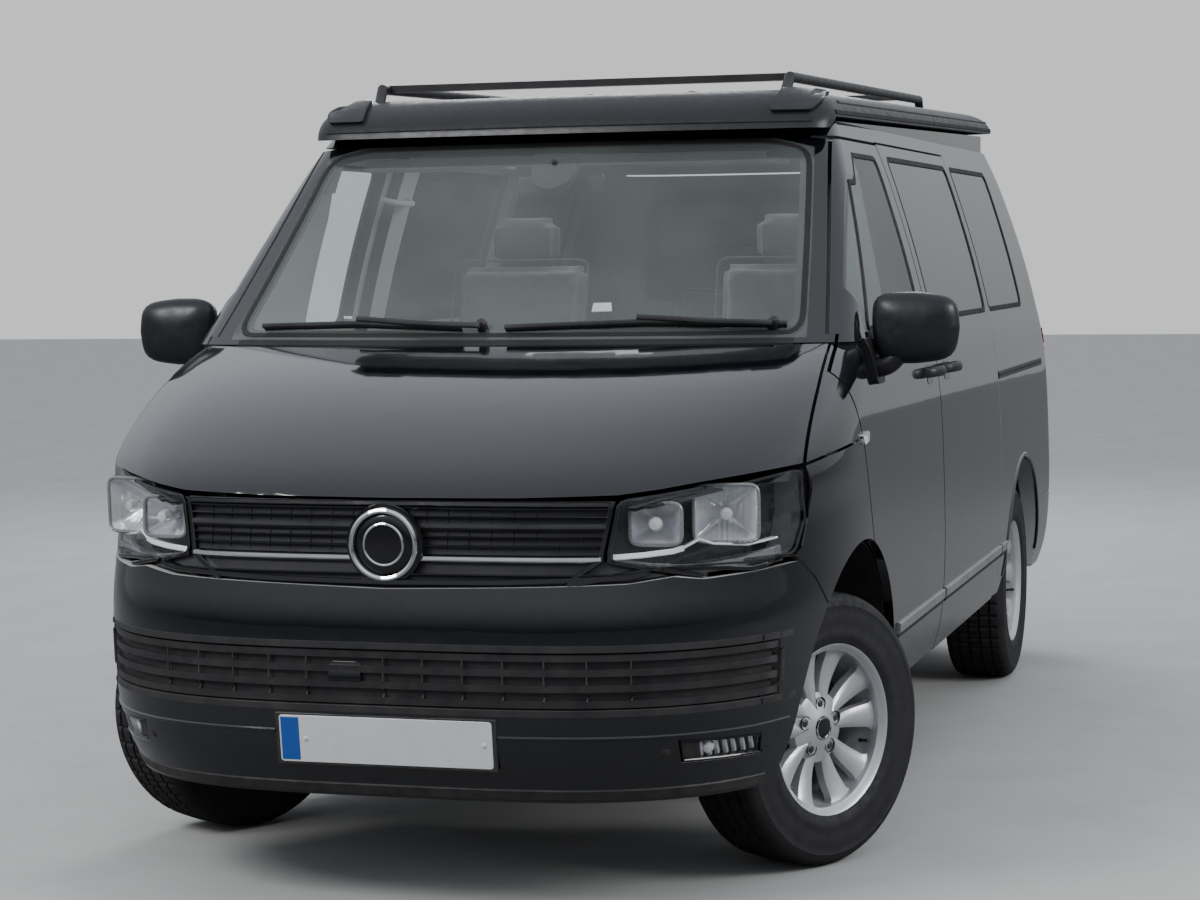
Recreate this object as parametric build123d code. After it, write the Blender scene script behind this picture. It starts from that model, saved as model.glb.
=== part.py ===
from build123d import *
import os
from math import cos, pi, radians, sin

import numpy as np

# Short-wheelbase camper van with an elevating roof, built as separate panels and running gear.
# Frame: +X to the vehicle's left, +Y to its rear, +Z up. The origin is on the ground under the
# middle of the body. All sizes are in millimetres.

os.makedirs("parts", exist_ok=True)

# ---------------------------------------------------------------- driving dimensions
body_length = 4904
body_width = 1904
wheelbase = 3000
front_overhang = 908
track = 1628
shut_gap = 7  # between neighbouring panels
door_gap = 9  # round the front doors
door_slant = 6  # of the front door's rear cut, in plan
door_frame = 34  # between the windscreen pillar and the door's glass
post_gap = 6  # the centre post stands this far inside the doors
window_radius = 40
wall_low = 70  # doors and side walls below the waist
wall_high = 42  # door frames and pillars above the waist
skin = 22  # bumpers and wings
bonnet_drop = 22  # depth of the bonnet and its frame
frame_depth = 16  # pressed frame behind the front panels
glass_inset = 3  # glass sits this far inside the body's surface
glass_thick = 5

half_width = body_width / 2
nose = -body_length / 2
tail = body_length / 2
front_axle = nose + front_overhang
rear_axle = front_axle + wheelbase

bottom = 280  # lowest edge of the bumpers
sill = 352  # lowest edge of the doors and side walls
waist = 1300  # where the glasshouse stands on the body
screen_low = waist + 13  # lower edge of the windscreen
eaves = 1850  # top edge of the doors and side glass
roof_top = 1885  # the fixed roof's upper face

tyre_radius = 343
tyre_width = 215
rim_radius = 218
wheel_centre = track / 2
kingpin = wheel_centre - 124
steer_rest = -28  # the wheels stand turned to the vehicle's right
arch_front = 460
arch_rear = 440
arch_forward = 21  # the front arch's centre is ahead of the axle
arch_height = tyre_radius + 7
liner_thick = 5
liner_gap = 4
cowl_gap = 5  # between the bonnet's rear edge and the cowl
front_well = wheel_centre - 339  # inner side of the front wheel wells
rear_well = wheel_centre - 174

well_top = arch_height + arch_front + 20  # above the front wheel wells
dash_wall = nose + 867  # between the engine and the dashboard
floor_low = 440
floor_thick = 50
floor_side = half_width - 92
cab_floor = front_axle + 482  # front edge of the cab's floor
door_front_top = waist - 65
door_rear = front_axle + 1222  # cut between front door and sliding door
slider_rear = rear_axle - arch_rear - 144
door_top = eaves - 12
roof_low = eaves - 4  # lower face of the roof panel
window_low = waist + 18
window_high = eaves - 44
beyond = half_width + 48  # outside the body's side
tailgate_low = 610
bumper_top = 600  # of the rear bumper
lid_tilt = 1.28
lid_gap = 8
bumper_wrap = 480
lower_grille_end = nose + 357


# ---------------------------------------------------------------- the body's form
# Each station is (height, tuck-in of the side, set-back of the nose, depth of the nose's curve,
# set-back of the tail), all but the height measured from the body's overall width and length.
glasshouse = eaves - waist
low_stations = [
    (bottom, 67, 67, 900, 60),
    (360, 37, 27, 950, 26),
    (450, 14, 5, 980, 10),
    (560, 4, 0, 1000, 6),
    (700, 0, 5, 1000, 12),
    (800, 1, 28, 990, 18),
    (900, 3, 46, 950, 24),
    (965, 5, 58, 880, 28),
    (1000, 6, 78, 800, 30),
    (1040, 8, 128, 740, 33),
    (1100, 12, 232, 660, 36),
    (waist - 140, 18, 360, 590, 40),
    (waist - 80, 26, 520, 510, 45),
    (waist - 30, 35, 690, 430, 50),
    (waist, 42, 810, 380, 54),
]
high_stations = [
    (waist, 42, 832, 18, 54),
    (waist + 0.182 * glasshouse, 64, 952, 17, 67),
    (waist + 0.364 * glasshouse, 89, 1068, 16, 88),
    (waist + 0.545 * glasshouse, 117, 1180, 15, 115),
    (waist + 0.727 * glasshouse, 148, 1290, 13.5, 147),
    (waist + 0.873 * glasshouse, 175, 1376, 12, 177),
    (eaves, 203, 1452, 11, 208),
    (roof_top, 218, 1490, 11, 225),
]
nose_square = (3.5, 2.6)  # exponents of the nose's plan curve, across and along
tail_square = (4.5, 3.2)
tail_depth = 330
pillar_radius = 80  # corner between the windscreen and the side


def corner_curve(width, tip, depth, square, direction):
    """Points of a rounded end in plan, from the left side round to the right."""
    fine = np.linspace(0, pi / 2, 400)
    x = width * np.sin(fine) ** (2 / square[0])
    y = tip + direction * depth * (1 - np.cos(fine) ** (2 / square[1]))
    run = np.concatenate([[0], np.cumsum(np.hypot(np.diff(x), np.diff(y)))])
    even = np.linspace(0, run[-1], 11)
    xs, ys = np.interp(even, run, x), np.interp(even, run, y)
    return [(a, b) for a, b in zip(xs[::-1], ys[::-1])] + [(-a, b) for a, b in zip(xs[1:], ys[1:])]


def screen_curve(width, tip, angle, radius):
    """Points of the bowed windscreen with a tight corner to each side, from left to right."""
    lean = radians(angle)
    corner_x = width - radius * (1 - sin(lean))
    bow = corner_x * np.tan(lean) / 2
    centre_y = tip + bow + radius * cos(lean)
    turns = np.linspace(pi / 2, lean, 5)
    half = [(width - radius + radius * sin(t), centre_y - radius * cos(t)) for t in turns]
    half += [(corner_x * k / 8, tip + bow * (k / 8) ** 2) for k in range(7, -1, -1)]
    return half + [(-x, y) for x, y in half[-2::-1]]


def chord_pace(points):
    """How far along a line each of its points is, from 0 to 1."""
    steps = [np.hypot(b[0] - a[0], b[1] - a[1]) for a, b in zip(points, points[1:])]
    run = np.concatenate([[0], np.cumsum(steps)])
    return run / run[-1]


def smooth_through(z, values, fine):
    """A curve through the values that never swings past them (slopes by harmonic means)."""
    step = np.diff(z)
    rate = np.diff(values) / step
    inner = [0 if a * b <= 0 else 2 * a * b / (a + b) for a, b in zip(rate[:-1], rate[1:])]
    slope = np.array([rate[0], *inner, rate[-1]])
    k = np.clip(np.searchsorted(z, fine) - 1, 0, len(step) - 1)
    t = (fine - z[k]) / step[k]
    start, end = values[k], values[k + 1]
    rise = start * (1 + 2 * t) * (1 - t) ** 2 + end * (3 - 2 * t) * t ** 2
    return rise + step[k] * (slope[k] * t * (1 - t) ** 2 - slope[k + 1] * t ** 2 * (1 - t))


def even_stations(rows, count):
    """Stations spaced evenly along the nose's profile, from a few given rows."""
    table = np.array(rows, dtype=float)
    fine = np.linspace(table[0, 0], table[-1, 0], 800)
    columns = [smooth_through(table[:, 0], table[:, k], fine) for k in range(1, table.shape[1])]
    run = np.concatenate([[0], np.cumsum(np.hypot(np.diff(fine), np.diff(columns[1])))])
    heights = np.interp(np.linspace(0, run[-1], count), run, fine)
    return [(z, *[float(np.interp(z, fine, c)) for c in columns]) for z in heights]


screen_pace = chord_pace(screen_curve(half_width - 130, 0, 15, pillar_radius))  # the same at every height


def end_curve(points, z, pace, way):
    """A level curve through the points that leaves along Y and comes back along it."""
    points = [Vector(x, y, z) for x, y in points]
    speed = sum((b - a).length for a, b in zip(points, points[1:]))
    ends = [Vector(0, way * speed, 0), Vector(0, -way * speed, 0)]
    return Edge.make_spline(points, tangents=ends, parameters=[float(p) for p in pace], scale=False)


def closed_loop(front, back, z, screen):
    """A level loop of a curved front, a curved back and two straight sides."""
    pace = screen_pace if screen else np.linspace(0, 1, len(front))
    nose_edge = end_curve(front, z, pace, -1)
    tail_edge = end_curve([(-x, y) for x, y in back], z, np.linspace(0, 1, len(back)), 1)
    right_edge = Edge.make_line(nose_edge @ 1, tail_edge @ 0)
    left_edge = Edge.make_line(tail_edge @ 1, nose_edge @ 0)
    return Wire([nose_edge, right_edge, tail_edge, left_edge])


def plan_loop(station, inset, upper):
    """The closed outline of the body at one height, as four edges."""
    z, tuck, nose_back, shape, tail_back = station
    width = half_width - tuck - inset
    if upper:
        front = screen_curve(width, nose + nose_back + inset, shape, pillar_radius - inset / 2)
    else:
        front = corner_curve(width, nose + nose_back + inset, shape, nose_square, 1)
    back = corner_curve(width, tail - tail_back - inset, tail_depth, tail_square, -1)
    return closed_loop(front, back, z, upper)


form_cache = {}


def form(stations_name, inset=0):
    """The body below the waist ("low") or above it ("high") as a solid, drawn in by an inset."""
    key = (stations_name, inset)
    if key not in form_cache:
        upper = stations_name == "high"
        stations = even_stations(high_stations, 9) if upper else even_stations(low_stations, 22)
        form_cache[key] = Solid.make_loft([plan_loop(s, inset, upper) for s in stations])
    return form_cache[key]


def level_faces(solid):
    return sorted(solid.faces().filter_by(GeomType.PLANE), key=lambda face: face.center().Z)


def layer(stations_name, outer, inner, zone):
    """The wall between two insets of the body's form, within a zone."""
    key = (stations_name, outer, inner)
    if key not in form_cache:
        outside, inside = form(stations_name, outer), form(stations_name, inner)
        pairs = zip(level_faces(outside), level_faces(inside))
        rings = [Face(a.outer_wire(), [b.outer_wire()]) for a, b in pairs]
        sides = outside.faces().filter_by(GeomType.BSPLINE) + inside.faces().filter_by(GeomType.BSPLINE)
        form_cache[key] = Solid(Shell([*sides, *rings]))
    return form_cache[key] & zone


# ---------------------------------------------------------------- cutting tools
def outline_face(plane, outline, radius, grow):
    line = FilletPolyline(*outline, radius=radius, close=True) if radius else Polyline(*outline, close=True)
    face = plane * make_face(line)
    return offset(face, grow) if grow else face


def side_prism(outline, grow=0, radius=0, x_from=300, x_to=1100):
    """A side-view outline (y, z), grown all round and swept across the vehicle's left side."""
    face = outline_face(Plane.YZ.offset(x_from), outline, radius, grow)
    return extrude(face, amount=x_to - x_from, dir=(1, 0, 0))


def front_prism(outline, y_from, y_to, grow=0, radius=0):
    """A front-view outline (x, z), grown all round and swept along the vehicle."""
    face = outline_face(Plane.XZ.offset(-y_from), outline, radius, grow)
    return extrude(face, amount=y_to - y_from, dir=(0, 1, 0))


def plan_prism(outline, z_from, z_to, grow=0, radius=0):
    """A plan outline (x, y), grown all round and swept upwards."""
    face = outline_face(Plane.XY.offset(z_from), outline, radius, grow)
    return extrude(face, amount=z_to - z_from, dir=(0, 0, 1))


def block(x0, x1, y0, y1, z0, z1):
    return Pos((x0 + x1) / 2, (y0 + y1) / 2, (z0 + z1) / 2) * Box(x1 - x0, y1 - y0, z1 - z0)


def across(radius, x0, x1, y, z):
    """A cylinder lying across the vehicle from x0 to x1."""
    return Pos((x0 + x1) / 2, y, z) * Rot(0, 90, 0) * Cylinder(radius, x1 - x0)


def rod(start, end, radius):
    """A round bar from one point to another."""
    line = Line(start, end)
    return sweep(Plane(origin=start, z_dir=line % 0) * Circle(radius), line)


def mirrored(shape):
    return mirror(shape, about=Plane.YZ)


nodes = {}


def keep(name, *shapes):
    """Files the solids of a piece under its name."""
    solids = [s for shape in shapes for s in shape.solids() if s.volume > 500]
    nodes[name] = solids[0] if len(solids) == 1 else Compound(children=solids)


# ---------------------------------------------------------------- outlines
def moved(outline, by):
    """A side-view outline moved along the vehicle."""
    return [(y + by, z) for y, z in outline]


def even(half):
    """An outline that is the same on both sides of the middle, from its left-hand points."""
    return [*half, *[(-x, z) for x, z in half[::-1]]]


# in side view (y, z)
arch_y = front_axle - arch_forward
inside_arch = (front_axle - 56, 500)
door_cut = [(119, 750), (79, 860), (44, 960), (4, 1065), (-89, 1197), (-101, door_front_top)]
door_cut = moved(door_cut, front_axle)
door_outline = [(front_axle + 104, sill), *door_cut, (front_axle + 54, waist), (front_axle + 604, door_top)]
door_outline += [(door_rear + 122, door_top), (door_rear + 122, sill)]
slider_outline = [(door_rear - 128, sill), (door_rear - 128, door_top)]
slider_outline += [(slider_rear - 6, door_top), (slider_rear, sill)]
wing_line = [*moved([(464, 1030), (582, 1045), (712, 1054)], nose), door_cut[3]]
bumper_seam = moved([(427, 822), (464, 795), (513, 758), (582, 680)], nose)
lamp_back = moved([(458, 842), (486, 905), (490, 970)], nose)
wing_outline = [*wing_line[::-1], *lamp_back[::-1], *bumper_seam, inside_arch, *door_cut[:3]]
door_window = [(front_axle + 224, window_low), (door_rear - 108, window_low)]
door_window += [(door_rear - 108, window_high - 6), (front_axle + 639, window_high - 6)]
door_window += [(front_axle + 224, waist + 170)]
slider_window = [(door_rear + 60, window_low), (door_rear + 60, window_high)]
slider_window += [(slider_rear - 40, window_high), (slider_rear - 34, window_low)]
quarter_window = [(slider_rear + 36, window_low), (slider_rear + 30, window_high)]
quarter_window += [(tail - 722, window_high), (tail - 712, window_low)]

# in front view (x, z)
lamp_outline = [(534, 976), (510, 836), (655, 803), (715, 794), (810, 801), (beyond, 826)]
lamp_outline += [(beyond, 1040), (885, 1025), (702, 1000), (622, 987)]
bonnet_lip = [(0, 974), (300, 976), (534, 982), (622, 993), (702, 1006), (885, 1031), (beyond, 1046)]
grille_half = [(526, 972), (502, 836), (640, 801), (560, 790), (280, 780)]
screen_half = [(half_width - 352, door_top), (half_width - 246, eaves - 38), (half_width - 162, screen_low)]
screen_outline = even(screen_half)
tailgate_half = [(half_width - 252, eaves - 14), (half_width - 157, waist), (half_width - 152, 1000)]
tailgate_half += [(half_width - 162, tailgate_low)]
tailgate_window = even([(half_width - 322, eaves - 80), (half_width - 262, waist + 35)])
tail_lamp_outline = [(half_width - 144, 930), (beyond, 930)]
tail_lamp_outline += [(beyond, waist + 35), (half_width - 149, waist + 35)]
bonnet_side = [(half_width - 47, nose - 248), (half_width - 62, nose + 432), (half_width - 80, nose + 702)]
bonnet_side += [(half_width - 106, nose + 1002)]
# outer side of the windscreen pillar
pillar_edge = [(0, waist - 60), (half_width - 110, waist - 4), (half_width - 214, door_top), (0, roof_top + 15)]
ahead_of_door = [(nose + 52, 200), (nose + 52, 1030), *wing_line, *door_cut[2::-1]]
ahead_of_door += [(front_axle + 244, 600), (front_axle + 244, 200)]


def arch_cut():
    """The space of both wheel arches on the left side."""
    front = across(arch_front, 300, 1100, arch_y, arch_height)
    front += block(300, 1100, arch_y - arch_front, arch_y + arch_front, 0, arch_height)
    rear = across(arch_rear, 300, 1100, rear_axle, arch_height)
    rear += block(300, 1100, rear_axle - arch_rear, rear_axle + arch_rear, 0, arch_height)
    return front + rear


def pane(opening):
    """The glass that fills an opening in the upper body."""
    return layer("high", glass_inset, glass_inset + glass_thick, opening)


def wall(zone):
    """The part of the body's wall inside a zone that reaches from the sill to the roof."""
    return layer("low", 0, wall_low, zone) + layer("high", 0, wall_high, zone)


def screen_cut():
    return front_prism(screen_outline, nose + 452, nose + 1752)


def header_zone():
    """The space over the windscreen, which belongs to the roof panel."""
    side = half_width - 312
    return block(-side, side, nose + 752, nose + 1652, eaves - 50, roof_low)


def cowl_zone(z_from, z_to):
    """The space at the windscreen's foot, which belongs to the bulkhead."""
    side = half_width - 192
    return block(-side, side, nose + 752, nose + 1012, z_from, z_to)


def rear_of_door(gap):
    """Everything behind the front door's rear cut, which slants forward to the inside."""
    slant = np.tan(radians(door_slant))
    corner = [(200, door_rear + gap - 750 * slant), (1100, door_rear + gap + 150 * slant)]
    return plan_prism([*corner, (1100, tail), (200, tail)], 200, 2000)


# ---------------------------------------------------------------- body shell
def door_zone(grow):
    """The space of the left front door, grown all round by an amount."""
    zone = side_prism(door_outline, grow) - rear_of_door(grow)
    zone -= plan_prism(even(bonnet_side), 900, waist + 20, grow=shut_gap + 8 - grow)
    return zone - front_prism(pillar_edge, nose + 752, nose + 1652, grow=-grow)


def side_panels():
    lamp = front_prism(tail_lamp_outline, tail - 302, tail + 100)
    gate = front_prism(even(tailgate_half), tail - 552, tail + 100, grow=shut_gap / 2)
    slider = side_prism(slider_outline) & rear_of_door(door_gap / 2)
    zone = block(0, 1100, wing_line[0][0] + shut_gap, tail + 50, sill, waist + 10)
    zone = zone - side_prism(ahead_of_door, shut_gap / 2) - arch_cut() - lamp - gate - door_zone(door_gap / 2)
    zone -= plan_prism(even(bonnet_side), 900, waist + 20, grow=shut_gap / 2)
    zone -= block(0, 1100, tail - bumper_wrap, tail + 100, 0, bumper_top + shut_gap)
    upper = block(0, 1100, nose + 802, tail + 50, waist - 10, roof_low) - lamp - gate - door_zone(door_gap / 2)
    upper = upper - screen_cut() - header_zone() - cowl_zone(waist - 20, screen_low)
    quarter = side_prism(quarter_window, radius=window_radius)
    middle = side_prism(slider_window, radius=window_radius)
    upper -= quarter
    opening = side_prism(slider_outline, shut_gap) & rear_of_door(-shut_gap)
    post_zone = block(0, 1100, door_rear - 65, door_rear + 65, floor_low + floor_thick, roof_low)
    post = layer("low", wall_low + post_gap, wall_low + post_gap + 34, post_zone)
    post += layer("high", wall_high + post_gap, wall_high + post_gap + 34, post_zone)
    left = layer("low", 0, wall_low, zone - opening) + layer("high", 0, wall_high, upper - opening)
    right = layer("low", 0, wall_low, zone) + layer("high", 0, wall_high, upper - middle)
    keep("side_panel_left", left, post)
    keep("side_panel_right", mirrored(right), mirrored(post))
    keep("sliding_door", wall(slider - middle))
    quarter_glass, middle_glass = pane(quarter), pane(middle)
    keep("side_glass", quarter_glass, middle_glass, mirrored(quarter_glass), mirrored(middle_glass))


def roof_panel():
    header = layer("high", 0, wall_high, header_zone()) - screen_cut()
    plate = form("high") & block(-beyond, beyond, nose, tail, roof_low, roof_top)
    keep("roof_panel", header + (plate - roof_opening()) + (roof_bed() - roof_opening()))


def windscreen():
    keep("windscreen", pane(screen_cut()))


def doors():
    window = side_prism(door_window, radius=window_radius)
    window -= front_prism(pillar_edge, nose + 752, nose + 1652, grow=door_frame)
    frame = wall(door_zone(-door_gap / 2) - arch_cut() - window)
    glass = pane(window)
    keep("door_left", frame)
    keep("door_right", mirrored(frame))
    keep("door_glass_left", glass)
    keep("door_glass_right", mirrored(glass))


def tailgate():
    window = front_prism(tailgate_window, tail - 552, tail + 100, radius=window_radius - 4)
    keep("tailgate", wall(front_prism(even(tailgate_half), tail - 552, tail + 100, -shut_gap / 2) - window))
    keep("tailgate_glass", pane(window))


# ---------------------------------------------------------------- roof
def lid_form(inset, top_inset):
    """The elevating roof's outer form, level, before it is tilted up to the rear."""
    loops = []
    for z, narrow, back in lid_stations:
        width = lid_half - narrow - inset
        top = z if z < lid_top else z - top_inset
        front = screen_curve(width, lid_nose + back + inset, 11, pillar_radius - inset / 2)
        rear = corner_curve(width, lid_tail - back * 0.5 - inset, 200, tail_square, -1)
        loops.append(closed_loop(front, rear, top, True))
    return Solid.make_loft(loops)


lid_half = half_width - 200
lid_nose = nose + 1384
lid_tail = tail - 252
lid_low = roof_top - 23
lid_side_low = roof_top + 8
lid_wall = 26
# (height over the fixed roof, narrowing of each side, set-back of the nose)
lid_stations = [(-33, 0, 0), (5, 0, 12), (33, 6, 38), (57, 26, 72), (75, 62, 108), (85, 120, 152)]
lid_stations = [(roof_top + rise, narrow, back) for rise, narrow, back in lid_stations]
lid_top = lid_stations[-1][0]


def tilted(shape):
    """Turns what belongs to the lid up to the rear, about the lower front edge of its side."""
    foot = Pos(0, lid_nose + 68, lid_side_low)
    return foot * Rot(lid_tilt, 0, 0) * foot.inverse() * shape


def lid_floor(drop):
    """Everything below the lid's lower edge, and a little more."""
    profile = [(lid_nose - 232, lid_low), (lid_nose + 113, lid_low), (lid_nose + 163, lid_side_low)]
    profile += [(lid_tail + 200, lid_side_low), (lid_tail + 200, lid_low - 160)]
    profile += [(lid_nose - 232, lid_low - 160)]
    profile = [(y, z - drop) for y, z in profile]
    return tilted(side_prism(profile, x_from=-beyond, x_to=beyond))


def roof_opening():
    side = lid_half - 192
    return plan_prism(even([(side, lid_nose + 448), (side, lid_tail - 500)]), roof_low - 60, roof_top + 215)


def roof_bed():
    """The raised bed of the elevating roof, which the closed lid's seal rests on."""
    side = lid_half - 48
    bed = plan_prism(even([(side, lid_nose + 368), (side, lid_tail - 100)]), roof_top - 5, roof_top + 115)
    return bed & lid_floor(lid_gap)


def roof_lid():
    outer = lid_form(0, 0)
    inner = lid_form(lid_wall, lid_wall) & block(-beyond, beyond, nose, tail, roof_top - 85, lid_top - lid_wall)
    keep("roof_lid", tilted(outer - inner) - lid_floor(0))


def roof_canvas():
    half, front, back = lid_half - 127, lid_nose + 378, lid_tail - 400
    low = lid_side_low
    outer = plan_prism(even([(half, front), (half, back)]), low + 2, low + 34)
    inner = plan_prism(even([(half - 25, front + 25), (half - 25, back - 25)]), low - 50, low + 100)
    keep("roof_canvas", tilted(outer - inner))


def roof_rack():
    """Two rails along the lid's sides with two flat cross bars between them."""
    rails = []
    low, high = roof_top + 65, roof_top + 123
    front, back = lid_half - 156, lid_half - 178
    for side in (1, -1):
        path = [(side * front, lid_nose + 218, low), (side * (front + 6), lid_nose + 268, high)]
        path += [(side * (back + 6), lid_tail - 760, high), (side * back, lid_tail - 700, low)]
        rails += [rod(start, end, 15) + Pos(*end) * Sphere(15) for start, end in zip(path, path[1:])]
    rack = rails[0]
    for rail in rails[1:]:
        rack += rail
    rack += block(4 - front, front - 4, lid_nose + 300, lid_nose + 356, high - 8, high + 12)
    rack += block(-back, back, lid_tail - 1048, lid_tail - 992, high - 8, high + 12)
    keep("roof_rack", tilted(rack - lid_form(0, 0)))


# ---------------------------------------------------------------- front
def screen_foot(grow):
    """The space straight under the windscreen's foot line, grown outward."""
    line = plan_loop((waist + 20, *high_stations[0][1:]), -grow, True)
    return extrude(Face(line), 120, dir=(0, 0, -1))


def bonnet():
    under = Pos(0, 0, -bonnet_drop) * form("low", 10)
    region = plan_prism(even(bonnet_side), 900, waist - 3, grow=-shut_gap / 2)
    lip = [*even_lip(shut_gap / 2), (beyond, waist + 100), (-beyond, waist + 100)]
    region &= front_prism(lip, nose - 50, nose + 1052)
    region -= screen_foot(cowl_gap + 1)
    keep("bonnet", (form("low") - under) & region)


def even_lip(rise):
    """The lower edge of the bonnet in front view, from right to left, raised by an amount."""
    return [(-x, z + rise) for x, z in bonnet_lip[::-1]] + [(x, z + rise) for x, z in bonnet_lip[1:]]


def wings():
    zone = side_prism(wing_outline, -shut_gap / 2) - arch_cut()
    wing = layer("low", 0, skin, zone - plan_prism(even(bonnet_side), 900, waist + 1, grow=shut_gap / 2))
    keep("front_wings", wing, mirrored(wing))


def front_lamps():
    back = [(nose - 48, 700), bumper_seam[0], *lamp_back, wing_line[0], (nose - 48, 1100)]
    room = front_prism(lamp_outline, nose - 50, nose + 552, grow=-shut_gap / 2)
    lamp = layer("low", 2, 95, room & side_prism(back, -shut_gap / 2))
    fog = layer("low", 2, 60, front_prism(fog_outline, nose - 50, nose + 407, grow=-2))
    keep("front_lamps", lamp, mirrored(lamp), fog, mirrored(fog))


fog_outline = [(664, 372), (810, 368), (818, 420), (662, 428)]
lower_grille_outline = [(beyond, 637), (beyond, 501)]


def grilles():
    upper = layer("low", 14, skin, front_prism(even(grille_half), nose - 50, nose + 452, grow=-1))
    zone = front_prism(even(lower_grille_outline), nose - 50, lower_grille_end, -2)
    lower = layer("low", 14, skin, zone)
    for z in (516, 552, 588, 622):
        lower += layer("low", 4, 15, zone & block(-1100, 1100, nose - 50, tail, z - 8, z + 8))
    keep("grilles", upper, lower)


def front_bumper():
    top = [(-beyond, 822), (-810, 797), (-715, 790), (-655, 799), (-560, 786), (0, 772)]
    top = top + [(-x, z) for x, z in top[-2::-1]]
    zone = front_prism([(-beyond, 200), *top, (beyond, 200)], nose - 50, nose + 852)
    side = [(nose - 48, 200), (nose - 48, 900), *bumper_seam, inside_arch, (inside_arch[0], 200)]
    zone &= side_prism(side, -shut_gap / 2, x_from=-1100)
    fogs = front_prism(fog_outline, nose - 50, nose + 552)
    zone = zone - arch_cut() - mirrored(arch_cut()) - fogs - mirrored(fogs)
    zone -= front_prism(even(lower_grille_outline), nose - 50, lower_grille_end)
    keep("front_bumper", layer("low", 0, skin, zone))


def front_frame():
    """The pressed frame and rails that carry the bumper, lamps, grilles, wings and front suspension."""
    zone = block(-beyond, beyond, nose - 50, nose + 892, 430, 940)
    zone -= front_prism(even([(440, 925), (440, 810)]), nose - 50, nose + 452)
    zone -= front_prism(even([(560, 620), (560, 515)]), nose - 50, nose + 452)
    lamp_room = front_prism(lamp_outline, nose - 50, nose + 552, grow=8)
    zone = zone - arch_cut() - mirrored(arch_cut()) - lamp_room - mirrored(lamp_room)
    frame = layer("low", skin, skin + frame_depth, zone)
    frame += block(-455, 455, nose + 117, nose + 137, 430, 900)
    ahead, behind = front_axle - 156, front_axle + 164
    frame += block(-420, 420, ahead, ahead + 60, 215, 275) + block(-420, 420, behind - 60, behind, 215, 275)
    for side in (1, -1):
        frame += block(side * 430 - 25, side * 430 + 25, nose + 67, cab_floor, 430, 530)
        frame += block(side * 420 - 35, side * 420 + 35, ahead, behind, 215, 435)
        frame += rod((side * 400, front_axle, 245), (side * (kingpin - 35), front_axle, 235), 20)
    keep("front_frame", frame)


def bulkhead():
    """The wall between the engine and the cab, with the cowl under the windscreen."""
    foot, top = floor_low + floor_thick, waist - 60
    line = [(cab_floor, foot), (cab_floor, well_top), (dash_wall, well_top + 20), (dash_wall, top)]
    line += [(dash_wall + 30, top), (dash_wall + 30, well_top + 50), (cab_floor + 30, well_top + 30)]
    side = half_width - 182
    plate = side_prism([*line, (cab_floor + 30, foot)], x_from=-side, x_to=side)
    cowl = block(-side, side, nose + 762, nose + 1012, waist - 64, waist - 38) & form("low", 40)
    cowl &= screen_foot(1)
    outer, inner = level_faces(form("high"))[0], level_faces(form("high", wall_high))[0]
    rim = extrude(outer, amount=50, dir=(0, 0, -1)) - extrude(inner, amount=60, dir=(0, 0, -1))
    rim &= cowl_zone(waist - 45, waist)
    strip = layer("high", 0, wall_high, cowl_zone(waist - 20, screen_low))
    keep("bulkhead", plate + cowl + rim + strip)


def arch_liner(well, edge, arch_radius, y):
    """A wheel arch's inner wall and round lining."""
    outer, inner = arch_radius - liner_gap, arch_radius - liner_gap - liner_thick
    liner = across(outer, well, edge, y, arch_height)
    return liner - across(inner, well + liner_thick, beyond, y, arch_height)


def arch_liners():
    front = arch_liner(front_well, half_width - 27, arch_front, arch_y)
    rear = arch_liner(rear_well, half_width - 62, arch_rear, rear_axle)
    inside = form("low", skin + liner_gap)
    inside &= block(0, 1100, nose, tail, arch_height + 62, 1000)
    pair = (front + rear) & inside
    keep("arch_liners", pair, mirrored(pair))


def floor_pan():
    plate = block(-floor_side, floor_side, cab_floor, tail - 202, floor_low, floor_low + floor_thick)
    wells = across(arch_rear + 2, rear_well - 3, 1100, rear_axle, arch_height)
    plate = plate - wells - mirrored(wells)
    for side in (1, -1):
        rail = block(side * 430 - 30, side * 430 + 30, cab_floor, tail, floor_low - 38, floor_low + 8)
        plate += rail & form("low", skin + 20)
    keep("floor_pan", plate)


def rear_bumper():
    zone = block(-beyond, beyond, tail - bumper_wrap, tail + 50, 335, bumper_top)
    keep("rear_bumper", layer("low", 0, skin + 20, zone))


def tail_lamps():
    zone = front_prism(tail_lamp_outline, tail - 302, tail + 100, -2)
    lamp = layer("low", 0, wall_low - 8, zone & block(0, 1100, tail - 452, tail + 100, 900, waist))
    keep("tail_lamps", lamp, mirrored(lamp))


# ---------------------------------------------------------------- running gear
def wheel_place(front):
    """Where a left wheel's middle stands, turned as the steering is."""
    if not front:
        return Pos(wheel_centre, rear_axle, tyre_radius)
    return Pos(kingpin, front_axle, tyre_radius) * Rot(0, 0, steer_rest) * Pos(wheel_centre - kingpin, 0, 0)


def spun(points):
    """A ring round the wheel's axle from (radius, outward) points, the axle lying along X."""
    face = Plane.XY * make_face(Polyline(*[(out, radius) for radius, out in points], close=True))
    return revolve(face, Axis.X, 360)


def tyre():
    half = tyre_width / 2
    profile = [(rim_radius, -half + 12), (rim_radius + 45, -half), (tyre_radius - 38, -half + 3)]
    profile += [(tyre_radius - 9, -half + 20), (tyre_radius, -half + 42)]
    return spun(profile + [(r, -x) for r, x in profile[::-1]])


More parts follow.
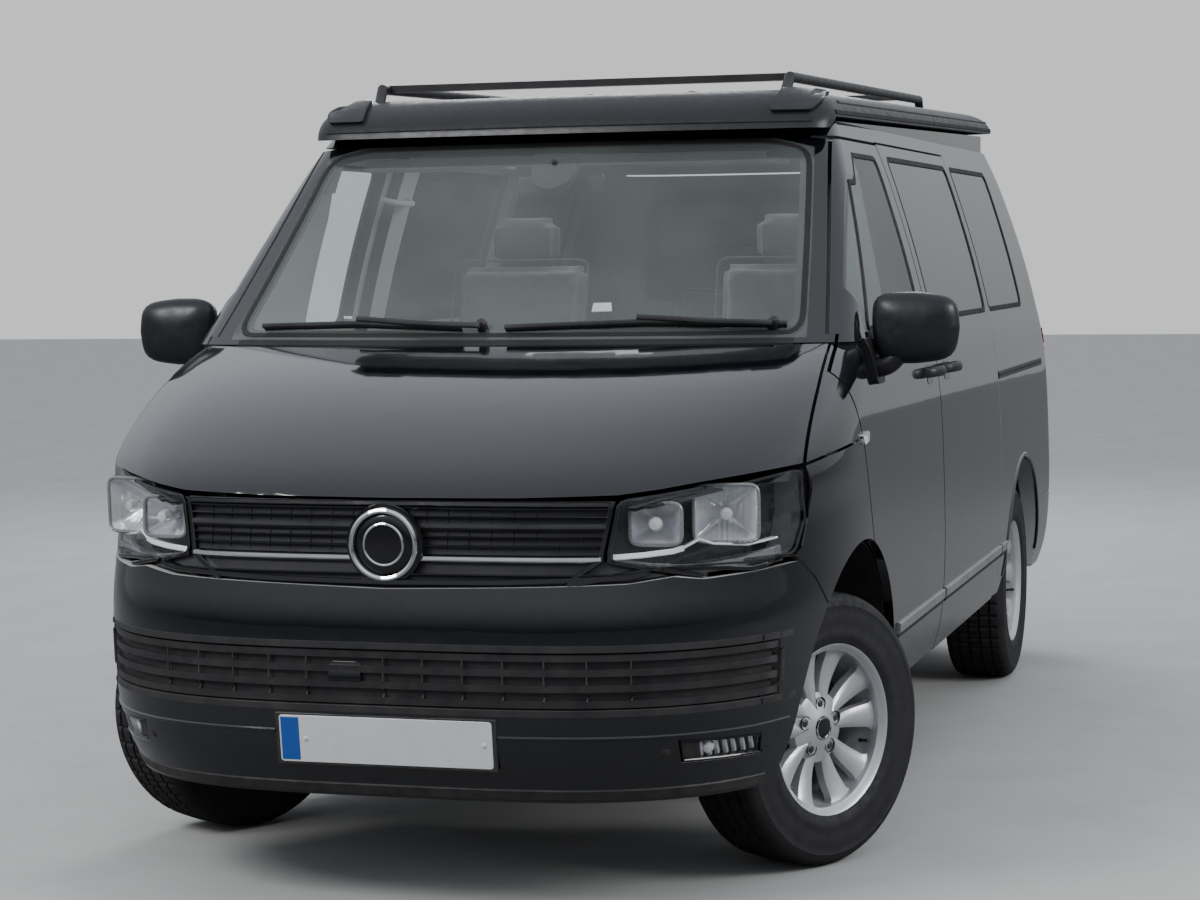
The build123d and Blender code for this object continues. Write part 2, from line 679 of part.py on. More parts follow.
def rim():
    edge = [(rim_radius, -88), (rim_radius, 94), (rim_radius - 16, 94)]
    barrel = spun([*edge, (rim_radius - 26, 60), (rim_radius - 14, -88)])
    disc = spun([(0, 22), (0, 62), (78, 58), (82, 30), (72, 22)])
    bore = across(hub_bore, 0, 100, 0, 0)
    wheel = barrel + disc
    for k in range(5):
        for lean in (-15, 15):
            loops = [spoke_loop(66, 46, 34, 18), spoke_loop(rim_radius - 10, 62, 26, 34)]
            wheel += Rot(k * 72 + lean, 0, 0) * Solid.make_loft(loops)
        wheel -= Rot(k * 72, 0, 0) * across(bolt_hole, 0, 100, 0, bolt_circle / 2)
    return wheel - bore


def spoke_loop(radius, outward, depth, width):
    corners = [(outward - depth, -width / 2), (outward, -width / 2 + 5)]
    corners += [(outward, width / 2 - 5), (outward - depth, width / 2)]
    return Wire(Polyline(*[(x, y, radius) for x, y in corners], close=True).edges())


hub_bore = 32.5
bolt_circle = 120
bolt_hole = 7.5
disc_radius = rim_radius - 64


def wheels():
    round_tyre, round_rim = tyre(), rim()
    for end in ("front", "rear"):
        place = wheel_place(end == "front")
        keep(f"tyre_{end}_left", place * round_tyre)
        keep(f"rim_{end}_left", place * round_rim)
        if end == "rear":
            keep("tyre_rear_right", mirrored(place * round_tyre))
            keep("rim_rear_right", mirrored(place * round_rim))
        else:
            right = Pos(-kingpin, front_axle, tyre_radius) * Rot(0, 0, steer_rest)
            right *= Pos(kingpin - wheel_centre, 0, 0)
            keep("tyre_front_right", right * mirrored(round_tyre))
            keep("rim_front_right", right * mirrored(round_rim))


def knuckle():
    """Hub, brake and strut of a front wheel, about the wheel's middle with the axle along X."""
    hub = across(46, -60, 20, 0, 0) + across(hub_bore - 0.5, 10, 60, 0, 0)
    brake = across(disc_radius, -30, -8, 0, 0)
    caliper = block(-60, 2, -60, 60, rim_radius - 118, rim_radius - 46)
    strut = rod((kingpin - wheel_centre - 26, 0, 10), (kingpin - wheel_centre - 60, 0, 310), 24)
    arm = block(kingpin - wheel_centre - 40, -20, -34, 34, -40, 60)
    return hub + brake + caliper + strut + arm


def knuckles():
    upright = knuckle()
    place = Rot(0, 0, steer_rest)
    keep("knuckle_left", wheel_place(True) * upright)
    right = Pos(-kingpin, front_axle, tyre_radius) * place * Pos(kingpin - wheel_centre, 0, 0)
    keep("knuckle_right", right * mirrored(upright))


def rear_suspension():
    reach = wheel_centre - 254
    hub = across(46, -60, 20, 0, 0) + across(hub_bore - 0.5, 10, 60, 0, 0)
    arm = Pos(wheel_centre, rear_axle, tyre_radius) * (hub + across(disc_radius - 8, -30, -8, 0, 0))
    arm += rod((reach - 40, rear_axle - 230, 360), (wheel_centre - 50, rear_axle, tyre_radius), 32)
    arm += Pos(reach + 30, rear_axle - 164, floor_low - 50) * Cylinder(40, 84)
    beam = across(34, -reach, reach, rear_axle - 230, 360) + arm
    keep("rear_suspension", beam + mirrored(arm))


def engine():
    keep("engine", block(-340, 340, nose + 312, nose + 812, 300, 930))


def exhaust():
    bend, rear_bend = (-160, cab_floor - 38, 290), (-160, rear_axle + 44, 290)
    pipe = rod((-60, nose + 820, 320), bend, 28) + rod(bend, rear_bend, 28)
    pipe += Pos(-160, rear_axle - 1156, 302) * Rot(90, 0, 0) * Cylinder(85, 560)
    pipe += rod(rear_bend, (-520, tail - 302, 300), 28)
    keep("exhaust", pipe)


def fuel_tank():
    keep("fuel_tank", fillet(block(120, 640, rear_axle - 2076, rear_axle - 1196, 235, 402).edges().filter_by(Axis.Y), 40))


# ---------------------------------------------------------------- inside
def dashboard():
    back, low, side = dash_wall + 32, well_top + 55, half_width - 192
    profile = [(back + 121, waist - 38), (back + 253, waist - 28), (back + 393, waist - 38)]
    profile += [(back + 463, waist - 85), (back + 468, waist - 180), (back + 403, waist - 290)]
    profile += [(back + 353, low), (back, low), (back, waist - 72), (back + 121, waist - 72)]
    board = side_prism(profile, radius=10, x_from=-side, x_to=side)
    console = [(353, 900), (433, 1100), (493, 1090), (533, 870), (403, 870)]
    keep("dashboard", board + side_prism(moved(console, back), x_from=-130, x_to=130))


def steering_wheel():
    place = Pos(*wheel_hub) * Rot(-wheel_lean, 0, 0)
    ring = Torus(188, 15) + Cylinder(62, 34)
    for turn in (90, 210, 330):
        ring += Rot(0, 0, turn) * block(0, 185, -16, 16, -9, 9)
    column = Pos(0, 0, -155) * Cylinder(34, 290)
    keep("steering_wheel", place * (ring + column))


wheel_hub = (-380, nose + 1547, waist - 150)
wheel_lean = 32


def seat(x, y, base):
    frame = block(x - 220, x + 220, y + 20, y + 440, floor_low + floor_thick, base)
    cushion = fillet(block(x - 250, x + 250, y - 40, y + 460, base, base + 150).edges(), 35)
    back = Pos(x, y + 470, base + 90) * Rot(-14, 0, 0) * Pos(0, 0, 330)
    back = back * fillet(Box(480, 120, 640).edges(), 40)
    rest = Pos(x, y + 640, base + 770) * fillet(Box(260, 90, 190).edges(), 34)
    post = rod((x - 60, y + 610, base + 600), (x - 60, y + 640, base + 760), 7)
    post += rod((x + 60, y + 610, base + 600), (x + 60, y + 640, base + 760), 7)
    return frame + cushion + back + rest + post


def seats():
    keep("front_seats", *[seat(x, front_axle + 904, floor_low + floor_thick + 310) for x in (430, -430)])


def rear_bench():
    right, left, front, rear = -380, rear_well - 40, rear_axle - 556, rear_axle + 44
    base = block(right, left, front, rear, floor_low + floor_thick, 780)
    cushion = fillet(block(right, left, front - 20, rear - 100, 780, 900).edges(), 30)
    back = Pos((right + left) / 2, rear - 50, 780) * Rot(-12, 0, 0) * Pos(0, 0, 330)
    back = back * fillet(Box(left - right, 110, 660).edges(), 35)
    places = (right + 250, left - 250)
    rests = [Pos(x, rear + 90, 1510) * fillet(Box(250, 80, 150).edges(), 30) for x in places]
    rests += [rod((x, rear + 75, 1400), (x, rear + 90, 1500), 9) for x in places]
    bench = base + cushion + back
    for rest in rests:
        bench += rest
    keep("rear_bench", bench)


def kitchen():
    back = rear_axle - arch_rear - 56
    keep("cabinet", block(132 - half_width, -430, door_rear + 432, back, floor_low + floor_thick, waist - 60))


# ---------------------------------------------------------------- small outer pieces
def mirrors():
    middle = front_axle + 254
    head = Pos(half_width + 100, middle, waist + 28) * Rot(0, 0, -8) * fillet(Box(190, 95, 186).edges(), 38)
    arm = block(half_width - 72, half_width + 33, middle - 35, middle + 15, waist - 65, waist - 10)
    left = head + (arm - form("low") - form("high"))
    left = max(left.solids(), key=lambda piece: piece.volume)
    keep("mirror_left", left)
    keep("mirror_right", mirrored(left))


def wipers():
    blades = []
    for start, middle, end in ((-690, -300, -80), (-40, 400, 750)):
        path = [wiper_point(x) for x in (start, middle, end)]
        blades.append(rod(path[0], path[1], 8) + rod(path[1], path[2], 8) + Pos(*path[1]) * Sphere(8))
    keep("wipers", *blades)


def wiper_point(x):
    """A point ahead of the windscreen's lower edge, which is bowed."""
    bow = 139 * (x / 855) ** 2
    return (x, nose + 842 + bow, waist + 30)


pieces = [side_panels, roof_panel, windscreen, doors, tailgate, roof_lid, roof_canvas, roof_rack, bonnet, wings]
pieces += [front_lamps, grilles, front_bumper, front_frame, bulkhead, arch_liners, floor_pan]
pieces += [rear_bumper, tail_lamps, wheels, knuckles, rear_suspension, engine, exhaust, fuel_tank]
pieces += [dashboard, steering_wheel, seats, rear_bench, kitchen, mirrors, wipers]

if __name__ == "__main__":
    for make in pieces:
        make()
        print(make.__name__)
    for name, shape in nodes.items():
        export_step(shape, f"parts/{name}.step")
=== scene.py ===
import math

import bmesh
import bpy
from mathutils import Matrix, Vector
from mathutils.bvhtree import BVHTree


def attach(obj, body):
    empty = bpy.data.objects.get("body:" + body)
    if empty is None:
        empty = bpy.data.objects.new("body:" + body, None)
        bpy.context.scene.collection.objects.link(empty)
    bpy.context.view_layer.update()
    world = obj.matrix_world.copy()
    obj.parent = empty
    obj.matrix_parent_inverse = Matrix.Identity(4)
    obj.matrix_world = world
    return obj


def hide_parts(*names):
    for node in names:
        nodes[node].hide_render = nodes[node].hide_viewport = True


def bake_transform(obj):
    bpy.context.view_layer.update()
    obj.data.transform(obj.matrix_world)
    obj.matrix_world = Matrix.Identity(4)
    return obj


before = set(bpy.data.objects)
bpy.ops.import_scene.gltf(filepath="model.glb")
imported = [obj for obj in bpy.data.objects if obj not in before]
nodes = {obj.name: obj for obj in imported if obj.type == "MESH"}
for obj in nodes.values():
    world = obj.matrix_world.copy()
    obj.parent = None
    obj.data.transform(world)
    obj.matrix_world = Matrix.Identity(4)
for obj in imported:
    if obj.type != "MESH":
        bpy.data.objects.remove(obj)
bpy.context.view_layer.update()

# Camper van with an elevating roof: the looks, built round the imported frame.
# x is the vehicle's left, y its rear and z up, all in metres.

print("frame loaded:", len(nodes), "nodes")

cameraSet = {"place": (2.2117, -8.1665, 1.5287), "heading": -16.436, "down": 4.153, "roll": -0.775,
             "lens": 80.85}


def makeCamera(s):
    heading, down, roll = (math.radians(s[k]) for k in ("heading", "down", "roll"))
    ahead = Vector((math.sin(heading) * math.cos(down), math.cos(heading) * math.cos(down), -math.sin(down)))
    right = Vector((math.cos(heading), -math.sin(heading), 0))
    up = right.cross(ahead)
    across = math.cos(roll) * right + math.sin(roll) * up
    over = -math.sin(roll) * right + math.cos(roll) * up
    camera = bpy.data.objects.new("camera", bpy.data.cameras.new("camera"))
    bpy.context.scene.collection.objects.link(camera)
    camera.data.lens = s["lens"]
    camera.data.sensor_width = 36
    camera.matrix_world = Matrix.Translation(s["place"]) @ Matrix((across, over, -ahead)).transposed().to_4x4()
    bpy.context.scene.camera = camera


makeCamera(cameraSet)
print("camera placed")


# materials: each is a principled shader with noise, wear, dust and bump layers

def link(tree, source, target):
    tree.links.new(source, target)


def noiseOf(tree, coords, scale, detail=4.0):
    noise = tree.nodes.new("ShaderNodeTexNoise")
    noise.inputs["Scale"].default_value = scale
    noise.inputs["Detail"].default_value = detail
    link(tree, coords, noise.inputs["Vector"])
    return noise.outputs["Fac"]


def mapped(tree, value, low, high, toLow, toHigh):
    node = tree.nodes.new("ShaderNodeMapRange")
    for key, number in zip(("From Min", "From Max", "To Min", "To Max"), (low, high, toLow, toHigh)):
        node.inputs[key].default_value = number
    link(tree, value, node.inputs["Value"])
    return node.outputs["Result"]


def maths(tree, kind, first, second):
    node = tree.nodes.new("ShaderNodeMath")
    node.operation = kind
    for socket, value in zip(node.inputs, (first, second)):
        if isinstance(value, (int, float)):
            socket.default_value = value
        else:
            link(tree, value, socket)
    return node.outputs["Value"]


def mixed(tree, factor, first, second):
    node = tree.nodes.new("ShaderNodeMix")
    node.data_type = "RGBA"
    for key, value in ((0, factor), (6, first), (7, second)):
        if isinstance(value, tuple):
            node.inputs[key].default_value = (*value, 1.0)
        else:
            link(tree, value, node.inputs[key])
    return node.outputs[2]


def makeMaterial(name, colour, rough, metal=0.0, coat=0.0, flake=0.0, mottle=0.25, mottleScale=9.0, grain=0.0,
                 grainScale=900.0, weave=0.0, weaveScale=420.0, wear=0.0, wearColour=(0.3, 0.3, 0.3), dust=0.0,
                 dustColour=(0.22, 0.2, 0.17), clear=0.0, alpha=1.0, ior=1.45, sheen=0.0, inside=None,
                 paintedGlow=0.0):
    material = bpy.data.materials.new(name)
    material.use_nodes = True
    tree = material.node_tree
    shader = tree.nodes["Principled BSDF"]
    shader.inputs["Metallic"].default_value = metal
    shader.inputs["Coat Weight"].default_value = coat
    shader.inputs["Coat Roughness"].default_value = 0.03
    shader.inputs["Transmission Weight"].default_value = clear
    shader.inputs["Alpha"].default_value = alpha
    shader.inputs["IOR"].default_value = ior
    shader.inputs["Sheen Weight"].default_value = sheen
    coords = tree.nodes.new("ShaderNodeTexCoord").outputs["Object"]
    cloud = noiseOf(tree, coords, mottleScale)
    darker = tuple(c * (1 - mottle) for c in colour)
    lighter = tuple(min(1.0, c * (1 + mottle)) for c in colour)
    base = mixed(tree, mapped(tree, cloud, 0.3, 0.7, 0.0, 1.0), darker, lighter)
    roughness = mapped(tree, noiseOf(tree, coords, mottleScale * 5.3), 0.3, 0.7, rough * 0.8,
                       min(1.0, rough * 1.2))
    if flake:
        cells = tree.nodes.new("ShaderNodeTexVoronoi")
        cells.inputs["Scale"].default_value = 1800
        link(tree, coords, cells.inputs["Vector"])
        spark = mapped(tree, cells.outputs["Color"], 0.80, 1.0, 0.0, flake)
        base = mixed(tree, spark, base, (0.10, 0.11, 0.14))
    if wear:
        edge = mapped(tree, tree.nodes.new("ShaderNodeNewGeometry").outputs["Pointiness"], 0.53, 0.60, 0.0,
                      wear)
        base = mixed(tree, maths(tree, "MULTIPLY", edge, cloud), base, wearColour)
    if dust:
        split = tree.nodes.new("ShaderNodeSeparateXYZ")
        link(tree, coords, split.inputs[0])
        low = mapped(tree, split.outputs["Z"], 0.25, 0.95, dust, 0.0)
        film = maths(tree, "MULTIPLY", low, mapped(tree, noiseOf(tree, coords, 23.0, 8.0), 0.35, 0.75, 0.1,
                                                   1.0))
        base = mixed(tree, film, base, dustColour)
        roughness = maths(tree, "ADD", roughness, maths(tree, "MULTIPLY", film, 0.5))
    if inside:
        base, roughness, coatValue = insideLayer(tree, base, roughness, coat, inside)
        link(tree, coatValue, shader.inputs["Coat Weight"])
    link(tree, base, shader.inputs["Base Color"])
    link(tree, roughness, shader.inputs["Roughness"])
    # a faint emission of the base colour: a painted highlight on a part that is not lit
    if paintedGlow:
        shader.inputs["Emission Strength"].default_value = paintedGlow
        link(tree, base, shader.inputs["Emission Color"])
    if grain or weave:
        bump = tree.nodes.new("ShaderNodeBump")
        bump.inputs["Strength"].default_value = grain or weave
        bump.inputs["Distance"].default_value = 0.0006
        height = noiseOf(tree, coords, grainScale, 3.0)
        if weave:
            waves = []
            for direction in ("X", "Z"):
                wave = tree.nodes.new("ShaderNodeTexWave")
                wave.bands_direction = direction
                wave.inputs["Scale"].default_value = weaveScale
                wave.inputs["Distortion"].default_value = 1.2
                link(tree, coords, wave.inputs["Vector"])
                waves.append(wave.outputs["Fac"])
            height = maths(tree, "ADD", height, maths(tree, "MAXIMUM", *waves))
        link(tree, height, bump.inputs["Height"])
        link(tree, bump.outputs["Normal"], shader.inputs["Normal"])
    return material


def makeGlass(name, tint, film):
    # Tinted clear glass that mirrors more at a low angle on its front faces only, with a thin pale film on its
    # front faces that is partly dust and partly a painted reflection veil
    material = bpy.data.materials.new(name)
    material.use_nodes = True
    tree = material.node_tree
    tree.nodes.remove(tree.nodes["Principled BSDF"])
    clear = tree.nodes.new("ShaderNodeBsdfTransparent")
    clear.inputs["Color"].default_value = (*tint, 1)
    gloss = tree.nodes.new("ShaderNodeBsdfGlossy")
    gloss.inputs["Roughness"].default_value = 0.0
    dull = tree.nodes.new("ShaderNodeBsdfDiffuse")
    dull.inputs["Color"].default_value = (0.50, 0.56, 0.54, 1)
    bounce = tree.nodes.new("ShaderNodeFresnel")
    bounce.inputs["IOR"].default_value = 1.55
    front = maths(tree, "SUBTRACT", 1.0, tree.nodes.new("ShaderNodeNewGeometry").outputs["Backfacing"])
    coords = tree.nodes.new("ShaderNodeTexCoord").outputs["Object"]
    # haze: a pale diffuse film on the front faces that is partly dust and partly a painted reflection veil
    # greying the glass
    haze = maths(tree, "MULTIPLY", mapped(tree, noiseOf(tree, coords, 2.5), 0.3, 0.7, film * 0.7, film * 1.3),
                 front)
    dustAndPaintedVeil = tree.nodes.new("ShaderNodeMixShader")
    link(tree, haze, dustAndPaintedVeil.inputs["Fac"])
    link(tree, clear.outputs[0], dustAndPaintedVeil.inputs[1])
    link(tree, dull.outputs[0], dustAndPaintedVeil.inputs[2])
    both = tree.nodes.new("ShaderNodeMixShader")
    link(tree, maths(tree, "MULTIPLY", bounce.outputs[0], front), both.inputs["Fac"])
    link(tree, dustAndPaintedVeil.outputs[0], both.inputs[1])
    link(tree, gloss.outputs[0], both.inputs[2])
    link(tree, both.outputs[0], tree.nodes["Material Output"].inputs["Surface"])
    return material


def insideLayer(tree, base, roughness, coat, trim):
    # Faces that look into the cabin take a trim colour, and the rest keep the paint, in any pose
    place = tree.nodes.new("ShaderNodeTexCoord").outputs["Object"]
    normal = tree.nodes.new("ShaderNodeVectorTransform")
    normal.vector_type = "NORMAL"
    normal.convert_from, normal.convert_to = "WORLD", "OBJECT"
    link(tree, tree.nodes.new("ShaderNodeNewGeometry").outputs["True Normal"], normal.inputs[0])
    away = tree.nodes.new("ShaderNodeVectorMath")
    away.operation = "SUBTRACT"
    link(tree, place, away.inputs[0])
    away.inputs[1].default_value = (0, 0.1, 1.1)
    facing = tree.nodes.new("ShaderNodeVectorMath")
    facing.operation = "DOT_PRODUCT"
    link(tree, away.outputs[0], facing.inputs[0])
    link(tree, normal.outputs[0], facing.inputs[1])
    inward = mapped(tree, facing.outputs["Value"], -0.10, -0.16, 0.0, 1.0)
    rough = mapped(tree, maths(tree, "MAXIMUM", inward, roughness), 0, 1, 0, 0.75)
    return mixed(tree, inward, base, trim), rough, mapped(tree, inward, 0, 1, coat, 0)


mat = {
    "paint": makeMaterial("paint", (0.0035, 0.004, 0.0065), 0.10, coat=1.0, flake=0.08, mottle=0.1,
                          mottleScale=2,
                          dust=0.02, inside=(0.46, 0.46, 0.455)),
    "paintOnly": makeMaterial("paintOnly", (0.0035, 0.004, 0.0065), 0.10, coat=1.0, flake=0.08, mottle=0.1,
                              dust=0.02),
    "lid": makeMaterial("lid", (0.014, 0.015, 0.018), 0.36, grain=0.12, grainScale=500, mottle=0.15, wear=0.1),
    "plastic": makeMaterial("plastic", (0.018, 0.018, 0.020), 0.42, grain=0.25, wear=0.15, dust=0.15),
    "glossPlastic": makeMaterial("glossPlastic", (0.006, 0.006, 0.007), 0.14, coat=0.6, mottle=0.1),
    "rubber": makeMaterial("rubber", (0.013, 0.013, 0.014), 0.62, grain=0.2, dust=0.2),
    "tyre": makeMaterial("tyre", (0.016, 0.016, 0.017), 0.68, grain=0.3, grainScale=600, dust=0.10,
                         dustColour=(0.10, 0.10, 0.10)),
    "alloy": makeMaterial("alloy", (0.62, 0.63, 0.65), 0.34, metal=0.45, coat=0.6, mottle=0.04, dust=0.10,
                          dustColour=(0.14, 0.13, 0.12)),
    "chrome": makeMaterial("chrome", (0.86, 0.87, 0.88), 0.06, metal=1.0, mottle=0.04),
    "iron": makeMaterial("iron", (0.06, 0.05, 0.045), 0.6, metal=0.6, grain=0.4, dust=0.3),
    "darkMetal": makeMaterial("darkMetal", (0.02, 0.02, 0.022), 0.5, metal=0.3, grain=0.3, dust=0.3),
    # the glass's last number sets its pale film, partly dust and partly a painted reflection veil
    "glass": makeGlass("glass", (0.92, 0.955, 0.945), 0.13),
    "darkGlass": makeMaterial("darkGlass", (0.012, 0.014, 0.015), 0.02, coat=1.0, alpha=0.93, mottle=0.02),
    "lens": makeGlass("lens", (0.985, 0.99, 0.995), 0.008),
    "mirrorGlass": makeMaterial("mirrorGlass", (0.8, 0.82, 0.84), 0.02, metal=1.0, mottle=0.01),
    "lampBowl": makeMaterial("lampBowl", (0.78, 0.79, 0.81), 0.16, metal=0.45, coat=0.6, mottle=0.08,
                             mottleScale=40),
    "lampGrey": makeMaterial("lampGrey", (0.26, 0.265, 0.275), 0.3, metal=0.2, mottle=0.12),
    "lampDark": makeMaterial("lampDark", (0.02, 0.02, 0.022), 0.3, mottle=0.1),
    "bulb": makeMaterial("bulb", (0.85, 0.85, 0.85), 0.05, metal=0.2, coat=1, mottle=0.05),
    # the strip material's faint glow is a painted highlight that makes the headlamps' chrome-white inner strips
    # bright
    "strip": makeMaterial("strip", (0.92, 0.93, 0.95), 0.12, metal=0.2, coat=1, mottle=0.03, paintedGlow=0.25),
    "redLens": makeMaterial("redLens", (0.35, 0.008, 0.01), 0.08, coat=1.0, mottle=0.1, mottleScale=60),
    "amberLens": makeMaterial("amberLens", (0.75, 0.28, 0.03), 0.08, coat=1.0, mottle=0.1),
    "whiteLens": makeMaterial("whiteLens", (0.75, 0.75, 0.76), 0.08, coat=1.0, mottle=0.08),
    "plateWhite": makeMaterial("plateWhite", (0.78, 0.79, 0.80), 0.25, coat=0.6, mottle=0.03, dust=0.1),
    "plateYellow": makeMaterial("plateYellow", (0.80, 0.58, 0.06), 0.25, coat=0.6, mottle=0.03, dust=0.1),
    "plateBlue": makeMaterial("plateBlue", (0.01, 0.09, 0.42), 0.25, coat=0.6, mottle=0.05),
    "greyTrim": makeMaterial("greyTrim", (0.45, 0.45, 0.455), 0.7, grain=0.3, mottle=0.06),
    "darkTrim": makeMaterial("darkTrim", (0.035, 0.036, 0.038), 0.6, grain=0.5, grainScale=700, mottle=0.1),
    "headliner": makeMaterial("headliner", (0.42, 0.42, 0.41), 0.9, grain=0.4, grainScale=300, mottle=0.05),
    "seatCloth": makeMaterial("seatCloth", (0.045, 0.046, 0.050), 0.85, weave=0.6, sheen=0.4, mottle=0.25,
                              mottleScale=30),
    "seatSide": makeMaterial("seatSide", (0.022, 0.022, 0.024), 0.8, weave=0.4, sheen=0.3),
    "wood": makeMaterial("wood", (0.42, 0.40, 0.37), 0.45, mottle=0.12, mottleScale=14, grain=0.1),
    "canvas": makeMaterial("canvas", (0.20, 0.21, 0.22), 0.9, weave=0.7, weaveScale=300, sheen=0.2),
}
nodeLooks = {
    "paint": "side_panel_left side_panel_right sliding_door roof_panel door_left door_right tailgate bonnet "
             "front_wings front_bumper rear_bumper",
    "darkGlass": "side_glass tailgate_glass", "glass": "windscreen door_glass_left door_glass_right",
    "lid": "roof_lid mirror_left mirror_right", "canvas": "roof_canvas", "plastic": "roof_rack grilles wipers",
    "darkMetal": "front_frame bulkhead arch_liners floor_pan fuel_tank", "lens": "front_lamps",
    "redLens": "tail_lamps",
    "tyre": "tyre_front_left tyre_front_right tyre_rear_left tyre_rear_right",
    "alloy": "rim_front_left rim_front_right rim_rear_left rim_rear_right",
    "iron": "knuckle_left knuckle_right rear_suspension engine exhaust", "darkTrim": "dashboard steering_wheel",
    "seatCloth": "front_seats rear_bench", "wood": "cabinet",
}
for look, names in nodeLooks.items():
    for name in names.split():
        mesh = nodes[name].data
        mesh.materials.clear()
        mesh.materials.append(mat[look])
print("materials made:", len(mat))


# stage and light

def addStage():
    mesh = bpy.data.meshes.new("floor")
    mesh.from_pydata([(-40, -40, 0), (40, -40, 0), (40, 40, 0), (-40, 40, 0)], [], [(0, 1, 2, 3)])
    floor = bpy.data.objects.new("floor", mesh)
    bpy.context.scene.collection.objects.link(floor)
    ground = makeMaterial("floorGround", (0.50, 0.50, 0.49), 0.85, mottle=0.05, mottleScale=3, grain=0.15)
    mesh.materials.append(ground)
    tree = ground.node_tree
    shader = tree.nodes["Principled BSDF"]
    pale = shader.inputs["Base Color"].links[0].from_socket
    direct = tree.nodes.new("ShaderNodeLightPath").outputs["Is Camera Ray"]
    link(tree, mixed(tree, direct, (0.15, 0.15, 0.15), pale), shader.inputs["Base Color"])
    world = bpy.data.worlds.new("world")
    bpy.context.scene.world = world
    world.use_nodes = True
    tree = world.node_tree
    background = tree.nodes["Background"]
    path = tree.nodes.new("ShaderNodeLightPath")
    split = tree.nodes.new("ShaderNodeSeparateXYZ")
    link(tree, tree.nodes.new("ShaderNodeTexCoord").outputs["Generated"], split.inputs[0])
    low = mapped(tree, split.outputs["Z"], 0.0, 0.45, 0.0, 1.0)
    front = mapped(tree, split.outputs["Y"], -0.6, 0.9, 0.0, 1.0)
    around = mixed(tree, low, mixed(tree, front, (0.07, 0.073, 0.08), (0.30, 0.31, 0.32)), (0.70, 0.73, 0.79))
    seen = maths(tree, "MAXIMUM", path.outputs["Is Camera Ray"], path.outputs["Is Transmission Ray"])
    link(tree, mixed(tree, seen, around, (0.80, 0.81, 0.82)), background.inputs["Color"])
    background.inputs["Strength"].default_value = 1.0


def addLamp(name, place, target, size, power):
    light = bpy.data.lights.new(name, "AREA")
    light.shape = "RECTANGLE"
    light.size, light.size_y = size
    light.energy = power
    lamp = bpy.data.objects.new(name, light)
    bpy.context.scene.collection.objects.link(lamp)
    lamp.location = place
    lamp.rotation_euler = (Vector(target) - Vector(place)).to_track_quat("-Z", "Y").to_euler()


addStage()
addLamp("keyLamp", (-3.5, -6.5, 5.5), (0, -0.5, 0.9), (3.5, 2.5), 330)
addLamp("sideLamp", (6.5, -2.0, 4.0), (0, 0, 1.0), (4, 2), 230)
addLamp("backLamp", (-2.0, 7.0, 5.0), (0, 1, 1), (4, 2), 200)
addLamp("cabinLamp", (0.0, -0.2, 1.84), (0, -0.2, 0), (1.0, 1.2), 7)
print("stage and lights set")


# tools: surfaces to lay trim on, strips, patches, turned and boxed pieces

def treeOf(names):
    points, faces = [], []
    for name in names:
        mesh = nodes[name].data
        base = len(points)
        points += [v.co.copy() for v in mesh.vertices]
        faces += [[base + i for i in p.vertices] for p in mesh.polygons]
    return BVHTree.FromPolygons(points, faces)


casts = {
    "front": lambda a, b: ((a, -6, b), (0, 1, 0)), "rear": lambda a, b: ((a, 6, b), (0, -1, 0)),
    "left": lambda a, b: ((4, a, b), (-1, 0, 0)), "right": lambda a, b: ((-4, a, b), (1, 0, 0)),
    "top": lambda a, b: ((a, b, 4), (0, 0, -1)),
}


def landOn(tree, side, a, b):
    # Where a straight line from one side first meets the surface, and the surface's outward normal
    start, way = (Vector(v) for v in casts[side](a, b))
    place, normal, _, _ = tree.ray_cast(start, way)
    if place is None:
        place, normal, _, _ = tree.find_nearest(start + way * 3.2)
    if normal.dot(way) > 0:
        normal = -normal
    return place, normal


def makePiece(name, points, faces, look, body, smooth=True, replaces=()):
    mesh = bpy.data.meshes.new(name)
    mesh.from_pydata([tuple(p) for p in points], [], faces)
    mesh.validate()
    piece = bpy.data.objects.new(name, mesh)
    bpy.context.scene.collection.objects.link(piece)
    mesh.materials.append(mat[look])
    fixNormals(mesh)
    if smooth:
        mesh.shade_smooth()
        mesh.set_sharp_from_angle(angle=math.radians(38))
    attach(piece, body)
    if replaces:
        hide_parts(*replaces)
    return piece


def fixNormals(mesh):
    work = bmesh.new()
    work.from_mesh(mesh)
    bmesh.ops.remove_doubles(work, verts=work.verts, dist=1e-6)
    bmesh.ops.recalc_face_normals(work, faces=work.faces)
    work.to_mesh(mesh)
    work.free()


def flipped(piece, name, body, look=None):
    # The same piece on the vehicle's other side
    mesh = piece.data.copy()
    mesh.transform(Matrix.Scale(-1, 4, (1, 0, 0)))
    mesh.flip_normals()
    twin = bpy.data.objects.new(name, mesh)
    bpy.context.scene.collection.objects.link(twin)
    for modifier in piece.modifiers:
        copy = twin.modifiers.new(modifier.name, modifier.type)
        for key in ("width", "segments", "limit_method", "levels", "render_levels", "thickness", "offset"):
            if hasattr(modifier, key):
                setattr(copy, key, getattr(modifier, key))
    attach(twin, body)
    return twin


def bevelled(piece, width, segments=2):
    modifier = piece.modifiers.new("bevel", "BEVEL")
    modifier.width = width
    modifier.segments = segments
    modifier.limit_method = "ANGLE"
    return piece


def resampled(line, step, closed=False):
    # A line with extra points on its long runs
    out = []
    ends = line[1:] + line[:1] if closed else line[1:]
    for start, end in zip(line, ends):
        count = max(1, int(math.dist(start, end) / step))
        out += [tuple(s + (e - s) * k / count for s, e in zip(start, end)) for k in range(count)]
    return out if closed else out + [line[-1]]


